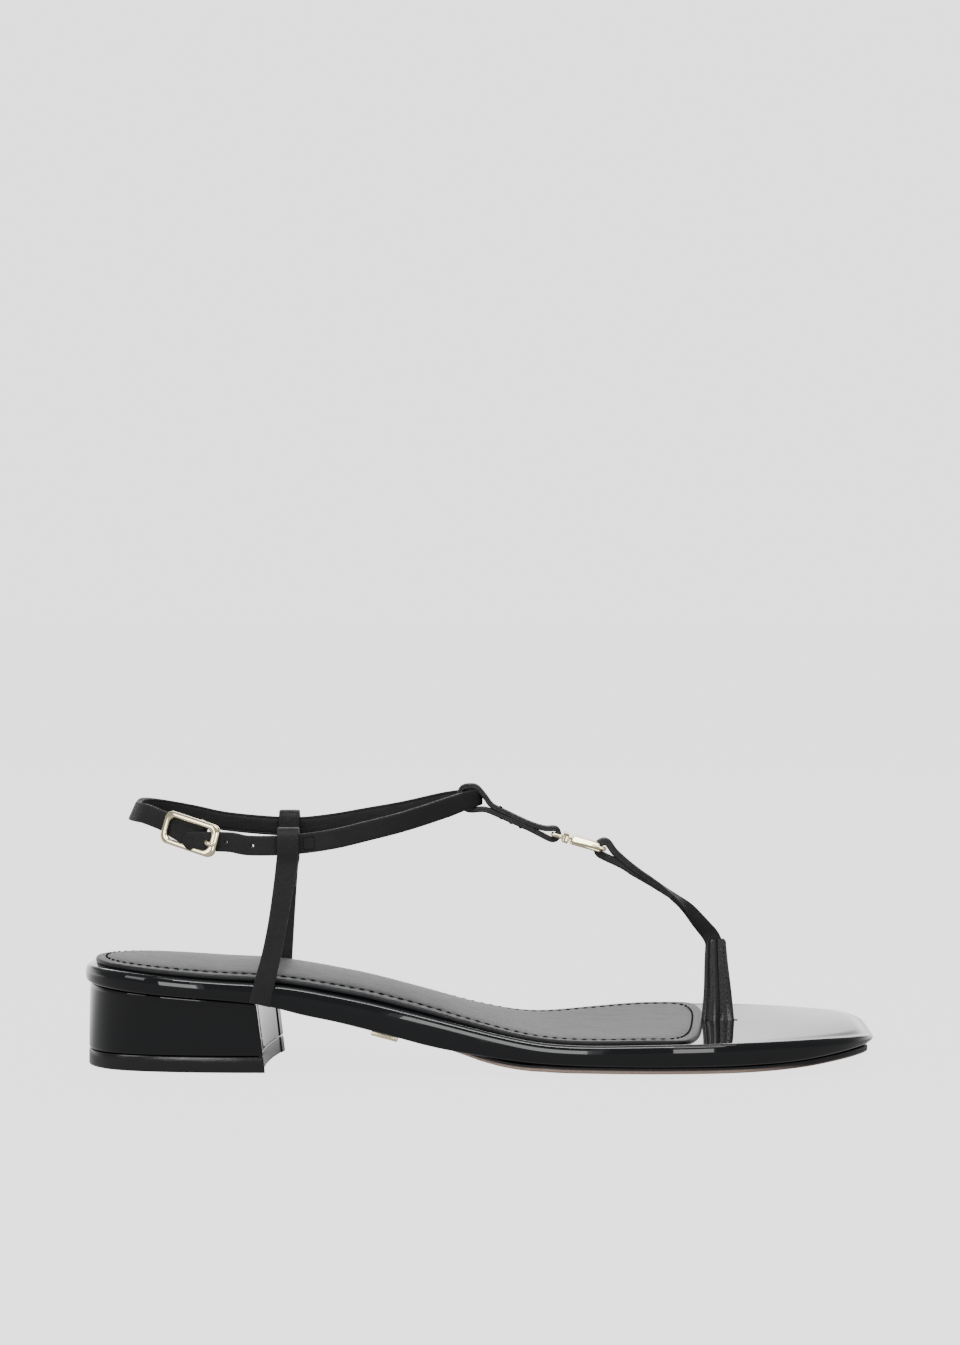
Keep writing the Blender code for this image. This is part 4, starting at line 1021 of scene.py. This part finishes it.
def make_ankle_strap():
    centre, along, out, up = buckle_axes()

    def local(u, n, v=0.0):
        return centre + along * u + out * n + up * v

    bar_u, bar_n = HIDDEN_BAR
    fold = [
        local(-0.0120, -0.0038, 0.0014),
        local(-0.0080, -0.0039, 0.0005),
        local(-0.0040, -0.0039),
        local(-0.0005, -0.0038),
    ]
    for turn in (-55, -15, 25, 65):
        angle = math.radians(turn)
        fold.append(local(bar_u + FOLD_RADIUS * math.cos(angle), bar_n + FOLD_RADIUS * math.sin(angle)))
    fold += [local(-0.0005, -0.0014), local(-0.0050, -0.0014), local(-0.0095, -0.0016, 0.0007)]
    line = [place(row) for row in ANKLE_LINE]
    for number, x, z in ((0, 0, 0.0012), (1, 0, 0.0008), (12, 0.0005, 0), (13, 0.0011, 0), (14, 0.0005, 0)):
        line[number] += (x, 0, z)
    # The punched end comes in level, so its tip lies low in the tilted frame.
    billet = [
        local(0.0136, -0.0015, 0.0014),
        local(0.0091, -0.0018, 0.0003),
        local(0.0068, -0.0016, -0.0003),
        local(0.0042, -0.0004, -0.0010),
        local(0.0016, 0.0003, -0.0016),
        local(-0.0008, 0.0004, -0.0021),
        local(-0.0026, 0.0002, -0.0025),
    ]
    path = relaxed(spaced(smooth(fold + line + billet, 10), STRAP_STEP), 4)
    count = len(path)
    share = np.arange(count) / count
    first_half = share < 0.5
    from_fold = distances(path, local(-0.004, -0.0014))
    lean = np.where(first_half, clamped(1 - (from_fold - 0.006) / 0.010), 0.0)[:, None]
    behind = clamped(1 - (path[:, 0] - path[:, 0].min()) / 0.012)[:, None]
    widths = relaxed((1 - lean) * (UPWARD + behind * BACK_LEAN * AHEAD) + lean * up, 12)
    from_loop = distances(path, place(ANKLE_LINE[13]))
    width = ANKLE_WIDTH * (0.90 + 0.10 * clamped((from_loop - 0.004) / 0.008))
    to_tip = clamped(distances(path, path[-1]) / 0.0036)
    rounded = np.sqrt(np.clip(1 - (1 - to_tip) ** 2.2, 0.02, 1))
    width = width * np.where(share > 0.9, rounded, 1)
    # It broadens where it folds under the frame, and it is pinched inside the T-strap's loop.
    width = width + 0.0013 * np.where(first_half, clamped(1 - (from_fold - 0.004) / 0.004), 0)
    width = relaxed(width * (0.66 + 0.34 * np.sqrt(clamped(from_loop / 0.0032))), 3)
    skived = np.where(first_half, clamped((from_fold - 0.008) / 0.006), 1.0)
    thick = relaxed(FOLD_THICKNESS + (ANKLE_THICKNESS - FOLD_THICKNESS) * skived, 8)
    section = strap_section(crease=0.00012, crown=0.00010)
    thing = strap("ankle_strap_leather", path, widths, width, thick, section)
    outer_run = path[count // 2 :]
    first_hole = 0.0116
    for spot in (first_hole, first_hole + HOLE_PITCH):
        nearest = outer_run[distances(outer_run, local(spot, -0.0015, 0.001)).argmin()]
        drilled(thing, nearest - out * 0.003, nearest + out * 0.003, HOLE_DIAMETER / 2)
    finished(thing, STRAP_LEATHER, "strap_leather", "ankle_strap")

    # A square of stitches holds the end of the strap's lining in front of the quarter.
    middle = np.abs(outer_run[:, 0] - BOX_STITCH).argmin()
    ahead = unit(outer_run[middle + 3] - outer_run[middle - 3])
    outward = unit(np.cross(ahead, UPWARD))
    outward = outward if outward[1] < 0 else -outward
    corner = outer_run[middle] + outward * (ANKLE_THICKNESS / 2 + 0.00004)
    sewn = laid(rounded_frame(*BOX_STITCH_HALF, 0.0003, steps=1), corner, ahead, UPWARD, 0)
    sewn = spaced(sewn, 0.0010, closed=True)
    return stitches("ankle_box_stitching", "strap_leather", sewn, outward, 0.0008, 0.00034, closed=True)


def make_quarter(name, leg, side, node):
    """An upright strap, from the sole over the ankle strap and down again inside."""
    ankle = smooth([place(row) for row in ANKLE_LINE], 8)
    leg = [place(row) for row in leg]
    head = leg[-1]
    same_side = ankle[np.sign(ankle[:, 1]) == side]
    crossing = same_side[np.abs(same_side[:, 0] - head[0]).argmin()]
    reach = side * (ANKLE_THICKNESS / 2 + GAP + QUARTER_THICKNESS / 2 + 0.12 * QUARTER_WIDTH)
    rise = ANKLE_WIDTH / 2 + GAP + QUARTER_THICKNESS / 2 + 0.06 * QUARTER_WIDTH
    over = []
    for out, up in ((1, -0.4), (1, 0.55), (0.62, 0.95), (-0.62, 0.95), (-1, 0.55), (-1, -0.85)):
        over.append(crossing + (0, out * reach, up * rise))
    beside = side * (QUARTER_THICKNESS + GAP)
    inner = [head - (0, beside * 1.02, 0.0004)]
    inner += [head - (0.0002, beside, 0.0030), head - (0.0006, beside, 0.0070)]
    path = relaxed(spaced(smooth(leg + over + inner, 10), STRAP_STEP), 3)
    share = clamped((path[:, 2] - path[0, 2]) / (head[2] - path[0, 2]))
    width = QUARTER_WIDTH * (1 - 0.12 * np.sin(math.pi * share))
    thing = strap(name, path, AHEAD, width, QUARTER_THICKNESS, strap_section(crease=0.00006, crown=0.00005))
    return finished(thing, STRAP_LEATHER, "strap_leather", node)


def fold_round(centre, along, radius, turns):
    """Points of a strap's fold round a bar, with the turns in degrees from the direction along."""
    along = unit(along)
    upward = unit(UPWARD - along * along[2])
    angles = [math.radians(turn) for turn in turns]
    return [centre + radius * (math.cos(angle) * along + math.sin(angle) * upward) for angle in angles]


def laid_under(thickness, *spots):
    """Points under a line. spots: a point, the line's next one, and how many thicknesses to go down."""
    under = []
    for point, ahead, drop in spots:
        x, _, z = unit(ahead - point)
        under.append(point - unit((-z, 0.0, x)) * thickness * drop)
    return under


def make_t_strap():
    link_rear = place(LINK_REAR)
    link_front = place(LINK_FRONT)
    fold = LINK_WIRE / 2 + 2.2 * GAP + T_LAYER / 2
    top = [place(row) for row in T_REAR_TOP]
    top[0] += (-0.0001, 0, -0.0003)
    top[1] += (-0.0007, 0, 0.0002)
    round_link = fold_round(link_rear, link_rear - top[2], fold, (90, 50, 0, -50, -90))
    rise = 0.90 * ANKLE_WIDTH / 2 + GAP + T_LAYER / 2
    reach = ANKLE_THICKNESS / 2 + 1.5 * GAP + T_LAYER / 2
    bow = 0.58 * T_WIDTH
    lower = laid_under(T_LOOK, (top[3], top[4], 0.9), (top[2], top[3], 0.98), (top[1], top[2], 1.15))
    lower.insert(0, (round_link[-1] + lower[0]) / 2)
    behind = []
    for bows, reaches, rises in (
        (0, 0.9, -1.02), (-0.5, 0, -1.10), (-1, 0, -0.98), (-1, -0.9, -0.50), (-1, -1, 0.30),
        (-1, -0.5, 0.86), (-0.5, 0, 0.98), (0, 0.05, 0.86),
    ):
        behind.append(place(ANKLE_LINE[13]) + (bow * bows + reach * reaches, 0, rise * rises))
    path = smooth(behind + top + round_link + lower, 8, closed=True)
    path = relaxed(spaced(path, FINE_STEP, closed=True), 6, closed=True)
    section = strap_section()
    rear = strap("t_band_rear", path, ACROSS, T_WIDTH, T_LOOK, section, closed=True)
    finished(rear, STRAP_LEATHER, "strap_leather", "t_strap_rear")

    upper = spaced(smooth(top[1:4], 10), STITCH_PITCH * 1.25)
    number = 0
    for side in (-1, 1):
        beside = upper + ACROSS * side * (T_WIDTH / 2 - 0.0009)
        over = beside[:2] + UPWARD * (T_LOOK / 2 + 0.00012)
        under = beside[1:-1] - UPWARD * (T_LOOK * 1.55 + 0.00012)
        for row, up in ((over, 1), (under, -1)):
            stitches(f"t_band_stitching_{number}", "strap_leather", row, (0.3 * up, 0.0, up), 0.0016, 0.00050)
            number += 1

    line = [place(row) for row in T_FRONT_LINE]
    fold = LINK_WIRE / 2 + 2.4 * GAP + T_FRONT_THICKNESS / 2
    round_link = fold_round(link_front, link_front - line[1], fold, (-90, -50, 0, 50, 90))
    halfway = (line[0] + line[1]) / 2
    under = laid_under(
        T_FRONT_THICKNESS,
        (line[3], line[4], 0.10),
        (line[2], line[3], 0.38),
        (line[1], line[2], 0.66),
        (halfway, line[1], 0.90),
    )
    post = place(THONG_TOP)
    into_post = [post + (-0.0006, 0, 0.0004), post + (-0.0003, 0, -0.0020), post + (-0.0001, 0, -0.0050)]
    path = relaxed(spaced(smooth(under + round_link + line[:-1] + into_post, 8), FINE_STEP), 4)
    count = len(path)
    order = np.arange(count) / count
    turn = eased((path[:, 0] - 0.222 * SOLE_LENGTH) / (0.080 * SOLE_LENGTH))
    turn = np.where(order > 0.3, turn, 0)
    widths = relaxed((1 - turn)[:, None] * ACROSS + turn[:, None] * np.array([1.0, 0.10, 0.10]), 14)
    wide = T_WIDTH * (0.94 - 0.04 * turn - 0.80 * turn * (1 - turn))
    from_link = distances(path, link_front)
    wide = relaxed(wide * np.where((order < 0.3) & (from_link > 0.004), 0.95, 1.0), 4)
    thick = T_FRONT_THICKNESS * (1 + 0.36 * clamped(1.2 - from_link / 0.025))
    front = strap("t_band_front", path, widths, wide, thick, section)
    return finished(front, STRAP_LEATHER, "strap_leather", "t_strap_front")


def make_thong():
    top = place(THONG_TOP) + (0.0002, 0, 0.0009)
    foot = place(THONG_FOOT) - (0.0004, 0, 0)
    line = [foot, foot + (top - foot) * 0.35 + (0.0002, 0, 0), foot + (top - foot) * 0.7, top]
    path = spaced(smooth(line, 10), FINE_STEP)
    share = np.linspace(0, 1, len(path))
    width = THONG_BASE_WIDTH + (THONG_TOP_WIDTH - THONG_BASE_WIDTH) * share**0.8
    left = clamped(distances(path, path[-1]) / 0.0014)
    width = width * (0.80 + 0.20 * np.sqrt(clamped(1 - (1 - left) ** 2)))
    edge = -THONG_EDGE * 0.9
    roll = THONG_ROLL
    # The rolled strip between its two seams, and the flat flange behind it.
    face = [(1.0, -0.0001, 1.0, edge, 0.6), (1.0, -0.0004, 1.0, -0.0001, 0.1), (1.0, -0.0007, 1.0, 0.0, 0.0)]
    for across_share, lift in (
        (0.72, -0.00002), (0.67, -0.00020), (0.62, -0.00004), (0.54, 0.60 * roll), (0.42, 0.95 * roll),
        (0.28, roll), (0.14, 0.95 * roll), (0.02, 0.60 * roll), (-0.06, -0.00004), (-0.11, -0.00024),
        (-0.16, -0.00004), (-0.55, 0.0), (-0.88, 0.0),
    ):
        face.append((across_share, 0.0, 1.0, lift, 0.0))
    face += [(-1.0, 0.0004, 1.0, -0.0001, 0.1), (-1.0, 0.0001, 1.0, edge, 0.6)]
    section = face + [(-a, -b, -c, -d, e) for a, b, c, d, e in face]
    thing = strap("thong_leather", path, AHEAD, width, THONG_THICKNESS, section)
    finished(thing, POST_LEATHER, "strap_leather", "thong_post", sharp=45)
    sewn = slice(8, -6, 4)
    half = width[sewn, None] / 2
    for number, (at_share, side) in enumerate(((0.67, -1), (-0.11, -1), (-0.67, 1), (0.11, 1))):
        points = path[sewn] + half * at_share * AHEAD + (0, side * (THONG_THICKNESS / 2 - 0.00012), 0)
        stitches(f"thong_stitching_{number}", "strap_leather", points, ACROSS * side, 0.0013, 0.00042)


# The metal

def rounded_frame(half_long, half_high, corner, shift=0.0, steps=7):
    """Points once round a rectangle with round corners."""
    points = []
    for sign_u, sign_v, start in ((1, 1, 0), (-1, 1, 90), (-1, -1, 180), (1, -1, 270)):
        for k in range(steps + 1):
            turn = math.radians(start + 90 * k / steps)
            u = sign_u * (half_long - corner) + corner * math.cos(turn) + shift
            v = sign_v * (half_high - corner) + corner * math.sin(turn)
            points.append((u, v))
    return np.array(points)


def make_buckle():
    centre, along, out, up = buckle_axes()
    left = BUCKLE_LENGTH / 2 + BUCKLE_EXTRA
    right = BUCKLE_LENGTH / 2
    rail = BUCKLE_WIRE + 0.0003
    outer = rounded_frame((left + right) / 2, BUCKLE_HEIGHT / 2, 0.0026, (right - left) / 2)
    window_left = left - 0.0020
    window_right = right - BUCKLE_FACE - 0.0003
    window_middle = (window_right - window_left) / 2
    inner = rounded_frame((window_left + window_right) / 2, BUCKLE_HEIGHT / 2 - rail, 0.0021, window_middle)
    rows = []
    for mix, height in (
        (0.02, -0.75), (0.0, -0.5), (0.0, 0.30), (0.03, 0.62), (0.10, 0.88), (0.20, 1.0), (0.50, 1.12),
        (0.78, 1.0), (0.84, 0.92), (0.95, 0.50), (1.0, 0.25), (1.0, -0.5), (0.97, -0.8), (0.85, -0.95),
        (0.5, -1.0), (0.12, -0.95),
    ):
        flat = outer * (1 - mix) + inner * mix
        bow = -0.0008 * (flat[:, 0] / left) ** 2 + 0.0003 - BUCKLE_LEAN * flat[:, 1]
        rows.append(laid(flat, centre, along, up, (BUCKLE_WIRE / 2 * height + bow)[:, None] * out))
    frame_piece = grid_piece("buckle_frame_gold", rows, wrap_rows=True)

    # The strap folds round a thinner bar under the window.
    bar_u, bar_n = HIDDEN_BAR
    bar = []
    for share, n in (
        (-0.94, -0.0006), (-0.90, bar_n * 0.7), (-0.78, bar_n), (0.0, bar_n), (0.78, bar_n),
        (0.90, bar_n * 0.7), (0.94, -0.0006),
    ):
        bar.append(centre + along * bar_u + up * share * BUCKLE_HEIGHT / 2 + out * n)
    bar = spaced(smooth(bar, 6), 0.0003)
    turns = [2 * math.pi * k / 12 for k in range(12)]
    wire = [(math.cos(turn), 0.0, math.sin(turn), 0.0, 0.0) for turn in turns]
    joined(frame_piece, strap("buckle_bar", bar, along, BAR_WIRE, BAR_WIRE, wire))
    finished(frame_piece, GOLD, "gold_hardware", "buckle_frame", sharp=42)

    face = right - BUCKLE_FACE
    tongue = []
    for u, n, v in (
        (0.0022, -0.0021, 0.0), (0.0036, -0.0018, -0.0002), (0.0048, -0.0006, -0.0004),
        (0.0056, 0.0009, -0.0006), (face - 0.0002, 0.00155, -0.0007), (face + 0.0012, 0.00150, -0.0007),
        (right - 0.0004, 0.00115, -0.0007),
    ):
        tongue.append(centre + along * u + out * n + up * v)
    path = spaced(smooth(tongue, 8), 0.0003)
    wide = np.full(len(path), 0.00150)
    wide[-2:] = (0.0013, 0.0009)
    prong = strap("buckle_prong_gold", path, up, wide, PRONG_THICKNESS, wire)
    return finished(prong, GOLD, "gold_hardware", "buckle_prong", sharp=50)


def make_link():
    rear = place(LINK_REAR)
    span = np.linalg.norm(place(LINK_FRONT) - rear)
    along = unit(place(LINK_FRONT) - rear)
    up = unit(np.cross(along, ACROSS))
    up = up if up[2] > 0 else -up
    wide = T_WIDTH + 0.0034
    pieces = []
    eye = LINK_WIRE / 2 + 0.185 * span
    ends = (("rear", -LINK_WIRE / 2, eye), ("front", span - eye - 0.0004, span + LINK_WIRE / 2))
    for name, low, high in ends:
        outer = rounded_frame((high - low) / 2, wide / 2, 0.0011)
        inner = rounded_frame((high - low) / 2 - LINK_WIRE * 0.97, wide / 2 - LINK_WIRE, 0.0005)
        middle = rear + along * (low + high) / 2
        rows = []
        for mix, height in (
            (0.0, 0.0), (0.06, 0.6), (0.25, 0.92), (0.5, 1.0), (0.75, 0.92), (0.94, 0.6),
            (1.0, 0.0), (0.94, -0.6), (0.75, -0.92), (0.5, -1.0), (0.25, -0.92), (0.06, -0.6),
        ):
            flat = outer * (1 - mix) + inner * mix
            rows.append(laid(flat, middle, along, ACROSS, height * LINK_WIRE / 2 * up))
        pieces.append(grid_piece(f"link_eye_{name}", rows, wrap_rows=True))

    def block(name, low, high, share, thick, slope):
        """A bar across the link with round corners. Its sides slope in towards the top."""
        middle = rear + along * (low + high) / 2
        rows = []
        for grow, height in (
            (-0.0006, -1.0), (-0.00025, -1.0), (-0.00006, -0.88), (0.0, -0.7), (-slope * 0.05, -0.5),
            (-slope * 0.5, 0.15), (-slope * 0.95, 0.80), (-slope - 0.00006, 0.93), (-slope - 0.00025, 1.0),
            (-slope - 0.0006, 1.0),
        ):
            corner = max(0.0007 + grow * 0.6, 0.00015)
            flat = rounded_frame((high - low) / 2 + grow, wide * share / 2 + grow, corner)
            rows.append(laid(flat, middle, along, ACROSS, height * thick / 2 * up))
        pieces.append(grid_piece(name, rows, fill=True))

    block("link_neck", 0.10 * span, 0.42 * span, 0.62, LINK_WIRE * 1.15, 0.0002)
    block("link_collar", 0.185 * span, 0.310 * span, 0.96, 1.35 * LINK_PLATE_THICKNESS, 0.0002)
    block("link_plate", 0.345 * span, span - 0.75 * LINK_WIRE, 0.98, 1.25 * LINK_PLATE_THICKNESS, 0.0009)
    link = joined(*pieces)
    link.name = "link_gold"
    return finished(link, GOLD, "gold_hardware", "link")


def make_plate():
    """The plate hangs a little below the waist on two pins."""
    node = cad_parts["arch_plate"]
    spots = np.array([node.matrix_world @ v.co for v in node.data.vertices])
    low, high = spots.min(axis=0), spots.max(axis=0)
    left = spots[spots[:, 0] < low[0] + 0.001].mean(axis=0)
    right = spots[spots[:, 0] > high[0] - 0.001].mean(axis=0)
    tilt = math.atan2(left[2] - right[2], right[0] - left[0])
    size = (high[0] - low[0], high[1] - low[1], PLATE_THICKNESS)
    plate = box(size, (left + right) / 2 - (0, 0, PLATE_DROP), (0, tilt, 0))
    plate.name = "arch_plate_gold"
    applied(plate, "BEVEL", width=PLATE_BEVEL, segments=3)
    pins = []
    for share in (0.22, 0.78):
        spot = left + (right - left) * share - (0, 0, PLATE_DROP / 2)
        start_fresh()
        bpy.ops.mesh.primitive_cylinder_add(
            vertices=20, radius=PIN_RADIUS, depth=PLATE_DROP + 0.0004, location=tuple(spot)
        )
        pins.append(settled(bpy.context.object))
    return finished(joined(plate, *pins), PLATE_GOLD, "gold_hardware", "arch_plate")


make_wrap()
make_sock()
make_outsole()
make_heel()
make_ankle_strap()
make_quarter("quarter_leather_lateral", LATERAL_LEG, -1, "quarter_strap_lateral")
make_quarter("quarter_leather_medial", MEDIAL_LEG, 1, "quarter_strap_medial")
make_t_strap()
make_thong()
make_buckle()
make_link()
make_plate()


# The set: pale floor, soft lights and the camera

def make_floor():
    """A pale floor, to the camera like the air behind it. In reflections it is darker towards the front."""
    start_fresh()
    bpy.ops.mesh.primitive_plane_add(size=FLOOR_SIZE, location=(0, 0, FLOOR_LEVEL))
    floor = bpy.context.object
    floor.name = "studio_floor"
    look, tree, where = finish(
        "studio_floor_paint",
        Base_Color=(0.10, 0.10, 0.10, 1.0), Roughness=1.0, Specular_IOR_Level=0.0, Emission_Color=WHITE,
    )
    shader = tree.nodes["Principled BSDF"]
    parts = add(tree, "SeparateXYZ", where)
    glow = curve_between(tree, parts.outputs["Y"], -0.05, 0.35, FRONT_AIR, FLOOR_BACK)
    feed(tree, shader.inputs["Emission Strength"], seen_or_not(tree, FLOOR_PALE, glow))
    # Seen from below, the floor is clear, so that the outsole shows.
    side = add(tree, "NewGeometry").outputs["Backfacing"]
    clear = add(tree, "BsdfTransparent").outputs[0]
    either = add(tree, "MixShader", side)
    tree.links.new(shader.outputs[0], either.inputs[1])
    tree.links.new(clear, either.inputs[2])
    tree.links.new(either.outputs[0], tree.nodes["Material Output"].inputs["Surface"])
    floor.data.materials.append(look)


def panel_light(name, centre, aim, size, power):
    light = bpy.data.lights.new(name, "AREA")
    light.shape = "RECTANGLE"
    light.size, light.size_y = size
    light.energy = power
    thing = bpy.data.objects.new(name, light)
    bpy.context.scene.collection.objects.link(thing)
    thing.location = centre
    direction = Vector(aim) - Vector(centre)
    thing.rotation_euler = direction.to_track_quat("-Z", "Y").to_euler()


def make_air():
    """The air is pale to the camera. In reflections it is bright low down behind and dim in front."""
    world = bpy.data.worlds.new("studio_air")
    bpy.context.scene.world = world
    world.use_nodes = True
    tree = world.node_tree
    back = tree.nodes["Background"].inputs
    back["Color"].default_value = WHITE
    parts = add(tree, "SeparateXYZ", add(tree, "TexCoord").outputs["Generated"])
    behind = curve_between(tree, parts.outputs["Y"], 0.12, 0.84)
    low = curve_between(tree, parts.outputs["Z"], 0.13, 0.46, BACK_AIR - FRONT_AIR, 0.0)
    glow = add(tree, "Math", behind, low, FRONT_AIR, operation="MULTIPLY_ADD").outputs[0]
    feed(tree, back["Strength"], seen_or_not(tree, PALE_AIR, glow))


def make_camera():
    camera = bpy.data.cameras.new("photo_camera")
    camera.sensor_fit = "AUTO"
    camera.sensor_width = SENSOR
    camera.lens = SENSOR * FOCAL_PIXELS / PICTURE_PIXELS
    camera.clip_start = 0.01
    camera.clip_end = 200.0
    thing = bpy.data.objects.new("photo_camera", camera)
    bpy.context.scene.collection.objects.link(thing)
    thing.location = CAMERA_PLACE
    thing.rotation_euler = (math.radians(90.0 - CAMERA_DIP), 0.0, 0.0)
    bpy.context.scene.camera = thing


make_floor()
make_air()
MIDDLE = (0.0, 0.0, 0.03)
panel_light("key_panel", (-0.06, -0.62, 0.95), MIDDLE, (0.50, 0.12), 6.0)
panel_light("side_panel", (-0.70, -0.535, 0.30), (-0.09, 0.0, 0.07), (0.34, 0.40), 1.8)
panel_light("rim_panel", (-0.40, -0.98, 0.08), (-0.09, 0.0, 0.03), (0.30, 0.16), 1.1)
panel_light("ball_panel", (0.315, -1.0, 0.11), (0.06, 0.0, 0.02), (0.24, 0.22), 1.1)
panel_light("band_panel", (-0.29, -1.25, 0.20), MIDDLE, (0.07, 0.9), 0.14)
panel_light("link_panel", (0.344, -0.805, 0.88), (0.03, 0.0, 0.07), (0.34, 0.34), 2.6)
panel_light("top_panel", (0.05, -0.30, 1.20), MIDDLE, (0.9, 0.35), 5.0)
panel_light("back_panel", (0.10, 1.4, 0.9), MIDDLE, (1.4, 0.35), 9.0)
make_camera()
